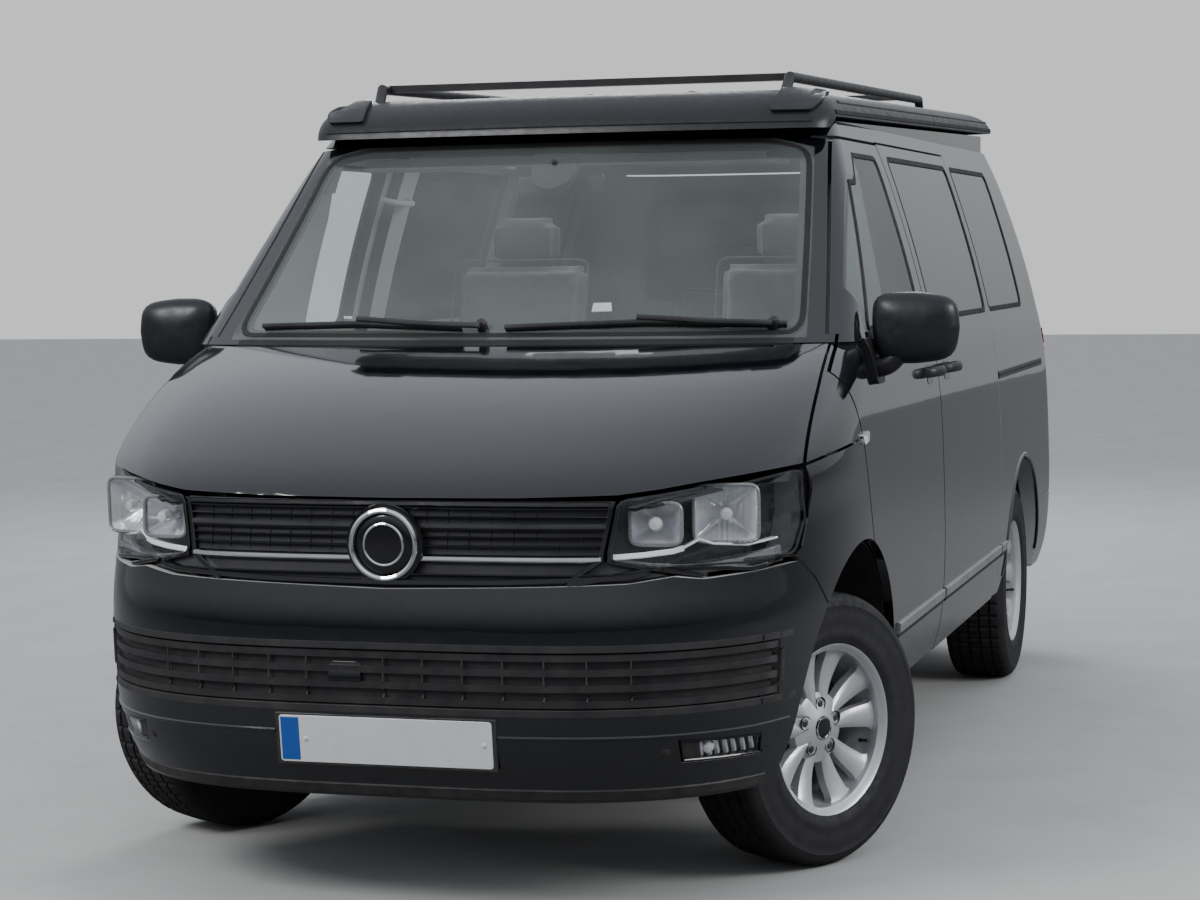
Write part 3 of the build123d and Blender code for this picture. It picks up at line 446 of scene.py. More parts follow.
def rounded(line, radius, steps=5, closed=True):
    # A line with its corners rounded
    out = []
    count = len(line)
    for i, corner in enumerate(line):
        if not closed and i in (0, count - 1):
            out.append(tuple(corner))
            continue
        here = Vector(corner)
        before, after = Vector(line[i - 1]) - here, Vector(line[(i + 1) % count]) - here
        reach = min(radius, before.length * 0.48, after.length * 0.48)
        first, last = here + before.normalized() * reach, here + after.normalized() * reach
        for k in range(steps + 1):
            t = k / steps
            out.append(tuple(first * (1 - t) ** 2 + here * 2 * t * (1 - t) + last * t ** 2))
    return out


def sweepLine(name, places, normals, section, look, body, closed=False, **more):
    # A section (across, out) carried along places, standing up from the surface by its normals
    points, faces = [], []
    count, wide = len(places), len(section)
    for i, (place, normal) in enumerate(zip(places, normals)):
        ahead = places[(i + 1) % count] if closed or i < count - 1 else place
        behind = places[i - 1] if closed or i else place
        along = (ahead - behind).normalized()
        across = along.cross(normal).normalized()
        points += [place + across * a + normal * b for a, b in section]
    for i in range(count if closed else count - 1):
        j = (i + 1) % count
        faces += [(i * wide + k, i * wide + (k + 1) % wide, j * wide + (k + 1) % wide,
                   j * wide + k) for k in range(wide)]
    if not closed:
        faces += [tuple(range(wide)), tuple(range((count - 1) * wide, count * wide))]
    return makePiece(name, points, faces, look, body, **more)


def bandSection(width, low, high, edge=0.002):
    half = width / 2
    return [(-half, low), (-half, high - edge), (-half + edge, high), (half - edge, high), (half, high - edge),
            (half, low)]


def strip(name, tree, side, line, width, look, body, low=-0.003, high=0.004, step=0.03, closed=False,
          edge=0.002, **more):
    # A strip of trim along a line drawn on the body from one side
    spots = [landOn(tree, side, *p) for p in resampled(line, step, closed)]
    section = bandSection(width, low, high, edge)
    return sweepLine(name, [p for p, _ in spots], [n for _, n in spots], section, look, body, closed=closed,
                     **more)


def patch(name, tree, side, outline, look, body, low=-0.003, high=0.003, cell=0.02, edge=0.0015, **more):
    # A panel that follows the body within an outline drawn from one side
    work = bmesh.new()
    flat = [work.verts.new((a, b, 0)) for a, b in outline]
    work.faces.new(flat)
    for axis in (0, 1):
        lowEnd, highEnd = min(p[axis] for p in outline), max(p[axis] for p in outline)
        for k in range(1, int((highEnd - lowEnd) / cell) + 1):
            normal = Vector((1, 0, 0)) if axis == 0 else Vector((0, 1, 0))
            geometry = work.verts[:] + work.edges[:] + work.faces[:]
            bmesh.ops.bisect_plane(work, geom=geometry, plane_co=normal * (lowEnd + k * cell), plane_no=normal)
    rim = set(v for e in work.edges if e.is_boundary for v in e.verts)
    top, bottom = {}, {}
    points, faces = [], []
    for v in work.verts:
        place, normal = landOn(tree, side, v.co.x, v.co.y)
        top[v] = len(points)
        points.append(place + normal * high)
        bottom[v] = len(points)
        points.append(place + normal * low)
    for f in work.faces:
        faces.append([top[v] for v in f.verts])
        faces.append([bottom[v] for v in reversed(f.verts)])
    for e in work.edges:
        if e.is_boundary:
            a, b = e.verts
            faces.append([top[a], top[b], bottom[b], bottom[a]])
    work.free()
    piece = makePiece(name, points, faces, look, body, **more)
    return bevelled(piece, edge) if edge else piece


def turned(name, profile, matrix, look, body, steps=48, angle=360, **more):
    # A profile of (radius, height) turned about its own z, then placed by a matrix
    points, faces = [], []
    count = len(profile)
    for i in range(steps):
        turn = 2 * math.pi * i / steps
        points += [matrix @ Vector((r * math.cos(turn), r * math.sin(turn), h)) for r, h in profile]
    for i in range(steps):
        j = (i + 1) % steps
        faces += [(i * count + k, i * count + k + 1, j * count + k + 1,
                   j * count + k) for k in range(count - 1)]
    return makePiece(name, points, faces, look, body, **more)


def aimed(place, way):
    # A matrix whose z points a given way from a place
    return Matrix.Translation(place) @ Vector(way).to_track_quat("Z", "Y").to_matrix().to_4x4()


def box(name, low, high, look, body, edge=0.004, matrix=None, segments=2, **more):
    work = bmesh.new()
    bmesh.ops.create_cube(work, size=1)
    size = Vector(high) - Vector(low)
    middle = (Vector(high) + Vector(low)) / 2
    for v in work.verts:
        v.co = Vector((v.co.x * size.x, v.co.y * size.y, v.co.z * size.z)) + middle
        if matrix:
            v.co = matrix @ v.co
    points = [v.co.copy() for v in work.verts]
    faces = [[v.index for v in f.verts] for f in work.faces]
    work.free()
    return bevelled(makePiece(name, points, faces, look, body, **more), edge, segments)


def tube(name, points, radius, look, body, steps=10, closed=False, smooth=3):
    # A round bar along smoothed points
    line = [Vector(p) for p in points]
    for _ in range(smooth):
        line = [line[0]] + [p for a, b in zip(line, line[1:]) for p in (a * 0.75 + b * 0.25,
                                                                        a * 0.25 + b * 0.75)] + [line[-1]]
    along = (line[1] - line[0]).normalized()
    normal = along.orthogonal().normalized()
    normals = []
    for i, p in enumerate(line):
        ahead = (line[min(i + 1, len(line) - 1)] - line[max(i - 1, 0)]).normalized()
        normal = (normal - ahead * normal.dot(ahead)).normalized()
        normals.append(normal.copy())
    circle = [(radius * math.cos(2 * math.pi * k / steps),
               radius * math.sin(2 * math.pi * k / steps)) for k in range(steps)]
    return sweepLine(name, line, normals, circle, look, body)


print("tools ready")


# headlamps: clear lens, dark housing, two bright bowls, bulbs and a lower strip made bright by a painted glow

lampSet = {
    "outline": [(0.538, 0.972), (0.515, 0.839), (0.656, 0.806), (0.716, 0.797), (0.806, 0.804), (0.871, 0.822),
                (0.886, 0.900), (0.886, 1.020), (0.816, 1.015), (0.702, 0.996), (0.622, 0.983)],
    "strip": [(0.528, 0.847), (0.590, 0.850), (0.655, 0.856), (0.676, 0.862)],
    "thin": [(0.676, 0.862), (0.708, 0.880), (0.735, 0.868), (0.800, 0.858), (0.850, 0.866)],
    "bowls": [{"x": 0.618, "z": 0.918, "wide": 0.118, "high": 0.096, "flutes": 0, "bulb": 0.017, "corner": 6},
              {"x": 0.762, "z": 0.930, "wide": 0.150, "high": 0.132, "flutes": 6, "bulb": 0.015, "corner": 8}],
    "bowlDepth": 0.055, "bowlBack": 0.020, "housingDepth": 0.085,
}


def bowl(name, middle, way, s, depth):
    # A rounded square reflector with optional upright flutes
    matrix = aimed(middle, way)
    points, faces = [], []
    rings, spokes = 14, 96
    for i in range(rings + 1):
        t = i / rings
        for k in range(spokes):
            turn = 2 * math.pi * k / spokes
            c, n = math.cos(turn), math.sin(turn)
            r = t / (abs(c) ** s["corner"] + abs(n) ** s["corner"]) ** (1 / s["corner"])
            x, y = s["wide"] / 2 * r * c, s["high"] / 2 * r * n
            ripple = 0.0055 * t * abs(math.sin(math.pi * s["flutes"] * r * c)) if s["flutes"] else 0
            points.append(matrix @ Vector((x, y, depth * (t ** 2 - 1) + ripple)))
    for i in range(rings):
        faces += [(i * spokes + k, i * spokes + (k + 1) % spokes, (i + 1) * spokes + (k + 1) % spokes,
                   (i + 1) * spokes + k) for k in range(spokes)]
    return makePiece(name, points, faces, "lampBowl", "body")


def headlamps(s):
    skin = treeOf(["front_lamps"])
    lens = patch("lampLensLeft", skin, "front", s["outline"], "lens", "body", low=-0.003, high=0.0, cell=0.025,
                 edge=0)
    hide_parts("front_lamps")
    pieces = [lens]
    housing = patch("lampBackLeft", skin, "front", s["outline"], "lampDark", "body", low=-s["housingDepth"],
                    high=-s["housingDepth"] + 0.003, cell=0.03, edge=0)
    pieces.append(housing)
    rim = rounded(s["outline"], 0.02)
    pieces.append(strip("lampWallLeft", skin, "front", rim, 0.003, "lampGrey", "body", low=-s["housingDepth"],
                        high=-0.006, closed=True, edge=0.0005))
    pieces.append(strip("lampRimLeft", skin, "front", rim, 0.009, "glossPlastic", "body", low=-0.010,
                        high=0.0003,
                        closed=True, edge=0.002))
    for i, b in enumerate(s["bowls"]):
        place, normal = landOn(skin, "front", b["x"], b["z"])
        way = (normal + Vector((0, -2.2, 0))).normalized()
        middle = place - normal * s["bowlBack"]
        pieces.append(bowl(f"lampBowl{i}Left", middle, way, b, s["bowlDepth"]))
        rimLine = []
        matrix = aimed(middle, way)
        for k in range(64):
            turn = 2 * math.pi * k / 64
            c, n = math.cos(turn), math.sin(turn)
            r = 1 / (abs(c) ** b["corner"] + abs(n) ** b["corner"]) ** (1 / b["corner"])
            rimLine.append(matrix @ Vector((b["wide"] / 2 * r * c, b["high"] / 2 * r * n, 0)))
        normals = [way] * len(rimLine)
        pieces.append(sweepLine(f"lampBezel{i}Left", rimLine, normals, bandSection(0.008, -0.012, 0.003),
                                "lampGrey",
                                "body", closed=True))
        ball = [(0.0, 0.03), (b["bulb"] * 0.7, 0.027), (b["bulb"], 0.016), (b["bulb"] * 0.95, 0.0),
                (b["bulb"] * 0.7, -0.01), (b["bulb"] * 0.6, -0.04)]
        pieces.append(turned(f"lampBulb{i}Left", ball, aimed(middle - way * 0.012, way), "bulb", "body",
                             steps=24))
    pieces.append(strip("lampStripLeft", skin, "front", s["strip"], 0.013, "strip", "body", low=-0.030,
                        high=-0.012, step=0.015))
    pieces.append(strip("lampThinLeft", skin, "front", s["thin"], 0.005, "strip", "body", low=-0.030,
                        high=-0.012, step=0.012))
    shelf = [(0.522, 0.838), (0.60, 0.824), (0.70, 0.812), (0.80, 0.818), (0.865, 0.835)]
    pieces.append(strip("lampShelfLeft", skin, "front", shelf, 0.022, "lampGrey", "body", low=-0.045,
                        high=-0.030, step=0.02))
    for piece in pieces:
        flipped(piece, piece.name.replace("Left", "Right"), "body")


headlamps(lampSet)
print("headlamps built")

# fog lamps, plate, badge and grille

grilleSet = {
    "upper": [(0.518, 0.962), (0.496, 0.840), (0.600, 0.809), (0.550, 0.799), (0.28, 0.789), (0.0, 0.785)],
    "thinSlats": [0.953, 0.935, 0.889, 0.869], "thickSlat": 0.912, "chrome": 0.8405, "lowSlat": 0.808,
    "ribs": [0.06 + 0.052 * k for k in range(10)], "halfTop": 0.518,
    "badge": 0.085, "badgeZ": 0.874,
}


def mirrorLine(half):
    return half + [(-a, b) for a, b in half[::-1] if a > 1e-6]


def grille(s):
    skin = treeOf(["grilles"])
    frame2 = rounded(mirrorLine(s["upper"]), 0.012)
    strip("grilleFrame", skin, "front", frame2, 0.012, "glossPlastic", "body", low=0.0, high=0.013, closed=True)
    for i, z in enumerate(s["thinSlats"]):
        half = s["halfTop"] - (0.953 - z) * 0.17 - 0.004
        strip(f"grilleSlat{i}", skin, "front", [(-half, z), (half, z)], 0.0045, "glossPlastic", "body",
              low=-0.002, high=0.013)
    half = s["halfTop"] - 0.012
    strip("grilleBar", skin, "front", [(-half, s["thickSlat"]), (half, s["thickSlat"])], 0.017, "plastic",
          "body",
          low=0.0, high=0.0135, edge=0.006)
    strip("grilleChrome", skin, "front", [(-0.497, s["chrome"]), (0.497, s["chrome"])], 0.019, "chrome", "body",
          low=0.0, high=0.0138, edge=0.006, step=0.015)
    strip("grilleLowSlat", skin, "front", [(-0.56, s["lowSlat"] - 0.004), (0.56, s["lowSlat"] - 0.004)], 0.005,
          "glossPlastic", "body",
          low=0.0, high=0.013)
    for side in (1, -1):
        for i, x in enumerate(s["ribs"]):
            if x > 0.45:
                continue
            for j, (low, high) in enumerate(((0.858, 0.904), (0.920, 0.965))):
                name = f"grilleRib{i}{j}" + ("Left" if side > 0 else "Right")
                strip(name, skin, "front", [(side * (x + 0.03), low), (side * (x + 0.03), high)], 0.002,
                      "plastic",
                      "body", low=-0.002, high=0.003, step=0.02, edge=0.0005)
    place, normal = landOn(skin, "front", 0, s["badgeZ"])
    r = s["badge"]
    centre = aimed(Vector((0, -2.4500 + 0.031, s["badgeZ"])), (0, -1, -0.03))
    profile = [(0, 0.004), (r * 0.78, 0.006), (r * 0.83, 0.009), (r * 0.86, 0.015), (r * 0.92, 0.0175),
               (r * 0.98, 0.0145),
               (r, 0.008), (r, -0.03)]
    turned("badgeRing", profile[2:], centre, "chrome", "body", steps=72)
    disc = [(0, 0.0115), (r * 0.3, 0.011), (r * 0.6, 0.0095), (r * 0.80, 0.0075), (r * 0.86, 0.003)]
    turned("badgeFace", disc, centre, "glossPlastic", "body", steps=72)
    turned("badgeInnerRing", [(r * 0.52, 0.0085), (r * 0.53, 0.0125), (r * 0.56, 0.0135), (r * 0.59, 0.012),
                              (r * 0.60, 0.008)],
           centre, "chrome", "body", steps=72)
    turned("badgeSeat", [(r * 1.02, -0.03), (r * 1.10, 0.0), (r * 1.09, 0.004), (r * 1.0, 0.005)], centre,
           "glossPlastic",
           "body", steps=72)


def lowerFront():
    fog = treeOf(["front_lamps"])
    skin = treeOf(["front_bumper"])
    deep = treeOf(["grilles"])
    for name, z in (("High", 0.6425), ("Low", 0.4955)):
        edgeLine = [(-0.872, z), (0.872, z)]
        strip("lowerGrille" + name, skin, "front", edgeLine, 0.016, "plastic", "body", low=-0.010, high=0.0008,
              edge=0.0006)
    for tag in ("left", "right"):
        line = [(-2.150, 0.6425), (-2.105, 0.634), (-2.090, 0.610), (-2.088, 0.569), (-2.090, 0.528),
                (-2.105, 0.504), (-2.150, 0.4955)]
        strip("lowerGrilleEnd" + tag, skin, tag, line, 0.018, "plastic", "body", low=-0.010, high=0.0035,
              edge=0.004)
    for i in range(13):
        if i == 5:
            continue
        x = -0.57 + 0.095 * i
        for j, (low, high) in enumerate(((0.524, 0.544), (0.560, 0.580), (0.596, 0.614))):
            strip(f"lowerRib{i}{j}", deep, "front", [(x, low), (x, high)], 0.004, "plastic", "body",
                  low=-0.002, high=0.002,
                  step=0.01, edge=0.001)
    patch("towCover", treeOf(["grilles"]), "front", [(-0.135, 0.604), (-0.135, 0.560), (-0.055, 0.560),
                                                     (-0.055, 0.604)],
          "glossPlastic", "body", low=-0.004, high=0.0024)
    for side, tag in ((1, "Left"), (-1, "Right")):
        lip = [(side * x, 0.438) for x in (0.272, 0.45, 0.65, 0.80)] + [(side * 0.86, 0.441)]
        strip("bumperLedge" + tag, skin, "front", lip, 0.010, "paintOnly", "body", low=-0.004, high=0.004,
              edge=0.003)
    foot = [(x / 10, 0.300) for x in range(-8, 9, 2)]
    strip("bumperFoot", skin, "front", foot, 0.030, "plastic", "body", low=-0.002, high=0.003, edge=0.003)
    for side, tag in ((1, "Left"), (-1, "Right")):
        outline = [(side * a, b) for a, b in ((0.668, 0.376), (0.666, 0.425), (0.813, 0.417), (0.806, 0.371))]
        patch("fogBack" + tag, fog, "front", outline, "glossPlastic", "body", low=-0.05, high=-0.030,
              cell=0.03, edge=0)
        strip("fogRim" + tag, fog, "front", outline, 0.008, "glossPlastic", "body", low=-0.03, high=0.002,
              closed=True)
        glass = [(side * a, b) for a, b in ((0.705, 0.376), (0.704, 0.421), (0.808, 0.415), (0.803, 0.373))]
        patch("fogLens" + tag, fog, "front", glass, "lens", "body", low=-0.004, high=0.0, cell=0.03)
        cheek = [(side * a, b) for a, b in ((0.670, 0.378), (0.669, 0.422), (0.702, 0.421), (0.703, 0.377))]
        patch("fogCheek" + tag, fog, "front", cheek, "plastic", "body", low=-0.03, high=-0.004, cell=0.03)
        for k in range(7):
            x = side * (0.708 + 0.0155 * k)
            strip(f"fogFlute{k}" + tag, fog, "front", [(x, 0.379), (x, 0.413)], 0.014, "lampBowl", "body",
                  low=-0.016,
                  high=-0.010 + 0.002 * (k % 2), step=0.01, edge=0.005)
        place, normal = landOn(fog, "front", side * 0.722, 0.397)
        turned("fogBulb" + tag, [(0.0, 0.004), (0.009, 0.003), (0.014, 0.0), (0.014, -0.012)],
               aimed(place - normal * 0.009, normal),
               "bulb", "body", steps=24)
        place, normal = landOn(skin, "front", side * 0.635, 0.398)
        turned("sensor" + tag, [(0, 0.0012), (0.009, 0.001), (0.011, 0.0), (0.012, -0.004)],
               aimed(place, normal), "rubber",
               "body", steps=24)


plateSet = {"wide": 0.520, "high": 0.111, "z": 0.4205, "y": -2.4439, "thick": 0.004, "rearZ": 0.905,
            "band": 0.045,
            "lean": 0.115}


def leaned(pieces, z, slope):
    # Pieces sheared forward above a height, to lie along a leaning face
    for piece in pieces:
        piece.data.transform(Matrix(((1, 0, 0, 0), (0, 1, -slope, slope * z), (0, 0, 1, 0), (0, 0, 0, 1))))


def numberPlate(name, y, z, s, look, facing, body):
    half, tall = s["wide"] / 2, s["high"] / 2
    outline = rounded([(-half, z - tall), (half, z - tall), (half, z + tall), (-half, z + tall)], 0.009)
    front, back = y, y - facing * s["thick"]
    points = [(a, front, b) for a, b in outline] + [(a, back, b) for a, b in outline]
    count = len(outline)
    faces = [tuple(range(count)), tuple(range(count, 2 * count))]
    faces += [(k, (k + 1) % count, count + (k + 1) % count, count + k) for k in range(count)]
    pieces = [bevelled(makePiece(name, points, faces, look, body), 0.0012)]
    left = -half + 0.004 if facing < 0 else half - s["band"] - 0.004
    low, high = (left, min(y, y + facing * 0.0006), z - tall + 0.005), (left + s["band"],
            max(y, y + facing * 0.0006), z + tall - 0.005)
    pieces.append(box(name + "Band", low, high, "plateBlue", body, edge=0.0002))
    screw = [(0, 0.0022), (0.0045, 0.0019), (0.0062, 0.0004), (0.0062, -0.001)]
    for a in (-half + 0.065, half - 0.02) if facing < 0 else (-half + 0.02, half - 0.065):
        pieces.append(turned(f"{name}Screw{int(a * 1000 + 1000)}", screw, aimed((a, y, z), (0, facing, 0)),
                             "whiteLens" if facing < 0 else "plateYellow", body, steps=18))
    return pieces


grille(grilleSet)
lowerFront()
frontPlate = numberPlate("frontPlate", plateSet["y"], plateSet["z"], plateSet, "plateWhite", -1, "body")
frontPlate.append(box("frontPlateHolder", (-0.27, -2.4425, 0.357), (0.27, -2.4335, 0.482), "plastic", "body",
                      edge=0.003))
leaned(frontPlate, plateSet["z"], plateSet["lean"])
print("front built")

# wheels: turned and grooved tyres, twin-spoke alloys, bolts, caps and valves

wheelSet = {
    "kingpin": (0.690, -1.544), "steer": -28.0, "offset": 0.124, "rear": (0.814, 1.456), "height": 0.343,
    "radius": 0.343, "segments": 288, "grooves": (-0.056, -0.019, 0.019, 0.056), "grooveHalf": 0.0045,
    "grooveDepth": 0.0075, "cutEvery": 6, "rimRadius": 0.203, "boltCircle": 0.060, "boltRadius": 0.0105,
}


def wheelMatrix(side, end, s):
    # Local z points outward along the axle and local x points up
    turn = Matrix(((0, 0, side), (0, -side, 0), (1, 0, 0))).to_4x4()
    if end == "rear":
        return Matrix.Translation((side * s["rear"][0], s["rear"][1], s["height"])) @ turn
    steer = Matrix.Rotation(math.radians(s["steer"]), 4, "Z")
    pin = Matrix.Translation((side * s["kingpin"][0], s["kingpin"][1], s["height"]))
    return pin @ steer @ Matrix.Translation((side * s["offset"], 0, 0)) @ turn


def tyreProfile(s):
    # Points (radius, across, is tread face) from the inner bead to the outer one
    side = [(0.207, 0.086), (0.212, 0.094), (0.218, 0.099), (0.226, 0.1005), (0.228, 0.1022), (0.246, 0.1045),
            (0.248, 0.1038),
            (0.268, 0.1072), (0.290, 0.1066), (0.308, 0.1036), (0.310, 0.1046), (0.322, 0.0998),
            (0.331, 0.0932), (0.337, 0.0850)]
    inner = [(r, -x, 0) for r, x in side]
    tread = []
    for g in s["grooves"]:
        for x, down in ((g - s["grooveHalf"], 0), (g - s["grooveHalf"] + 0.0012, 1),
                        (g + s["grooveHalf"] - 0.0012, 1),
                        (g + s["grooveHalf"], 0)):
            crown = s["radius"] - 0.55 * x * x
            tread.append((crown - down * s["grooveDepth"], x, 0 if down else 1))
    tread = [(0.3395, -0.079, 1)] + tread + [(0.3395, 0.079, 1)]
    return inner + tread + [(r, x, 0) for r, x in side[::-1]]


def makeTyre(name, matrix, body, node, s):
    profile = tyreProfile(s)
    points, faces = [], []
    count, steps = len(profile), s["segments"]
    for i in range(steps):
        turn = 2 * math.pi * i / steps
        for k, (r, x, tread) in enumerate(profile):
            shift = 3 if k < count // 2 else 0
            cut = tread and (i + shift) % s["cutEvery"] == 0
            rib = 0.0006 if 0.30 < r < 0.325 and i % 3 == 0 else 0
            r2 = r - (0.006 if cut else 0) + rib
            points.append(matrix @ Vector((r2 * math.cos(turn), r2 * math.sin(turn), x)))
    for i in range(steps):
        j = (i + 1) % steps
        faces += [(i * count + k, i * count + k + 1, j * count + k + 1,
                   j * count + k) for k in range(count - 1)]
    tyre = makePiece(name, points, faces, "tyre", body, replaces=[node])


def spokeGrid(pair, hand):
    # One spoke of a twin pair: rows from the hub to the rim, with a ridge and deep sides
    rows = []
    for k in range(13):
        t = k / 12
        r = 0.060 + t * 0.142
        slot = 3.2 + 3.6 * t + 8 * max(0, 0.28 - t)
        window = 9.5 + 2.0 * t - 8 * max(0, 0.30 - t)
        near, far = slot, 36 - window
        if t > 0.9:
            near, far = near - (t - 0.9) * 30, far + (t - 0.9) * 40
        height = 0.052 + 0.016 * t - 0.010 * math.sin(math.pi * t)
        row = []
        for u, drop in ((0, 0.030), (0, 0.006), (0.16, 0.001), (0.5, -0.0025), (0.84, 0.001), (1, 0.006),
                        (1, 0.030)):
            angle = math.radians(pair + hand * (near + (far - near) * u))
            row.append(Vector((r * math.cos(angle), r * math.sin(angle), height - drop)))
        rows.append(row)
    return rows


def makeRim(name, matrix, body, node, s):
    points, faces = [], []
    for pair in range(5):
        for hand in (1, -1):
            rows = spokeGrid(pair * 72, hand)
            base, wide = len(points), len(rows[0])
            points += [matrix @ p for row in rows for p in row]
            for i in range(len(rows) - 1):
                for k in range(wide - 1):
                    a = base + i * wide + k
                    faces.append((a, a + 1, a + wide + 1, a + wide))
                faces.append((base + i * wide + wide - 1, base + i * wide, base + (i + 1) * wide,
                              base + (i + 2) * wide - 1))
    rim = makePiece(name, points, faces, "alloy", body, replaces=[node])
    barrel = [(0.200, 0.050), (0.1955, 0.066), (0.1965, 0.080), (0.204, 0.087), (0.2095, 0.0935),
              (0.214, 0.096), (0.2185, 0.0945),
              (0.219, 0.088), (0.212, 0.082), (0.207, 0.07), (0.204, 0.03), (0.190, 0.0), (0.190, -0.05),
              (0.205, -0.08),
              (0.217, -0.086), (0.217, -0.094), (0.210, -0.094), (0.200, -0.08), (0.184, -0.05), (0.184, 0.0),
              (0.196, 0.03), (0.200, 0.050)]
    turned(name + "Barrel", barrel, matrix, "alloy", body, steps=96)
    hub = [(0.030, 0.0625), (0.036, 0.0615), (0.050, 0.0545), (0.072, 0.0500), (0.088, 0.0430), (0.090, 0.020),
           (0.030, 0.015)]
    turned(name + "Hub", hub, matrix, "alloy", body, steps=80)
    cap = [(0, 0.0665), (0.018, 0.0662), (0.025, 0.0650), (0.0285, 0.0625), (0.0290, 0.055)]
    turned(name + "Cap", cap, matrix, "glossPlastic", body, steps=48)
    turned(name + "CapRing", [(0.0245, 0.0645), (0.0255, 0.0668), (0.0275, 0.0665), (0.0287, 0.0645)], matrix,
           "chrome", body, steps=48)
    for k in range(5):
        turn = math.radians(72 * k)
        middle = Vector((s["boltCircle"] * math.cos(turn), s["boltCircle"] * math.sin(turn), 0))
        spot = matrix @ Matrix.Translation(middle)
        pocket = [(0.0175, 0.0560), (0.0165, 0.0545), (0.0150, 0.045), (0.0, 0.044)]
        turned(f"{name}Pocket{k}", pocket, spot, "darkMetal", body, steps=28)
        bolt = [(0, 0.0555), (0.006, 0.0555), (s["boltRadius"], 0.0535), (s["boltRadius"], 0.040)]
        turned(f"{name}Bolt{k}", bolt, spot, "plastic", body, steps=6, smooth=False)
    turn = math.radians(252)
    foot = Vector((0.186 * math.cos(turn), 0.186 * math.sin(turn), 0.040))
    tip = Vector((0.170 * math.cos(turn), 0.170 * math.sin(turn), 0.078))
    stem = aimed(matrix @ foot, (matrix @ tip) - (matrix @ foot))
    turned(name + "Valve", [(0.0, 0.040), (0.0048, 0.039), (0.0050, 0.026), (0.0038, 0.025), (0.0040, 0.0),
                            (0.0060, -0.006)], stem,
           "rubber", body, steps=16)


for end in ("front", "rear"):
    for side, tag in ((1, "left"), (-1, "right")):
        place = wheelMatrix(side, end, wheelSet)
        makeTyre(f"{end}{tag}Tyre", place, f"wheel_{end}_{tag}", f"tyre_{end}_{tag}", wheelSet)
        makeRim(f"{end}{tag}Rim", place, f"wheel_{end}_{tag}", f"rim_{end}_{tag}", wheelSet)
print("wheels built")

# glass edges, wipers, mirrors, handles and side trim

screenSet = {
    "edge": [(-0.775, 1.325), (0.775, 1.325), (0.694, 1.806), (0.590, 1.828), (-0.590, 1.828), (-0.694, 1.806)],
    "band": 0.050, "shadeDrop": 0.045,
}


def windscreenTrim(s):
    skin = treeOf(["windscreen"])
    line = rounded(s["edge"], 0.05)
    strip("screenFrit", skin, "front", line, s["band"], "glossPlastic", "body", low=-0.0068, high=-0.0056,
          closed=True, edge=0.0002)
    strip("screenSeal", skin, "front", line, 0.016, "rubber", "body", low=-0.003, high=0.0022, closed=True,
          edge=0.002)
    shade = [(-0.58, 1.792), (0.58, 1.792)]
    strip("screenShade", skin, "front", shade, s["shadeDrop"], "darkTrim", "body", low=-0.0068, high=-0.0058,
          edge=0.0002)
    pod = [(-0.075, 1.815), (0.075, 1.815), (0.055, 1.735), (0.02, 1.715), (-0.02, 1.715), (-0.055, 1.735)]
    patch("sensorPod", skin, "front", rounded(pod, 0.015), "darkTrim", "body", low=-0.030, high=-0.006,
          cell=0.03)


wiperSet = {
    "blades": [[(-0.690, 1.338), (-0.40, 1.345), (-0.100, 1.335)],
               [(0.020, 1.334), (0.38, 1.345), (0.735, 1.338)]],
    "arms": [[(-0.045, 1.332), (-0.22, 1.338), (-0.40, 1.350)], [(0.700, 1.332), (0.55, 1.338), (0.36, 1.350)]],
}


def wipers(s):
    skin = treeOf(["windscreen", "bulkhead"])
    for i, (blade, arm) in enumerate(zip(s["blades"], s["arms"])):
        rubber = strip(f"wiperRubber{i}", skin, "front", blade, 0.006, "rubber", "body", low=0.001, high=0.012,
                       edge=0.0015)
        strip(f"wiperSpoiler{i}", skin, "front", blade, 0.013, "plastic", "body", low=0.011, high=0.022,
              edge=0.004)
        strip(f"wiperArm{i}", skin, "front", arm, 0.015, "plastic", "body", low=0.020, high=0.031, edge=0.004)
        if not i:
            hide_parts("wipers")
        place, normal = landOn(skin, "front", *arm[0])
        turned(f"wiperPivot{i}", [(0, 0.034), (0.008, 0.033), (0.012, 0.029), (0.014, 0.020), (0.014, -0.002)],
               aimed(place + Vector((0, 0.012, 0.006)), normal), "plastic", "body", steps=28)


mirrorSet = {"middle": (1.0345, -1.292, 1.330), "half": (0.1128, 0.050, 0.092), "square": 5.0, "dome": 2.4}


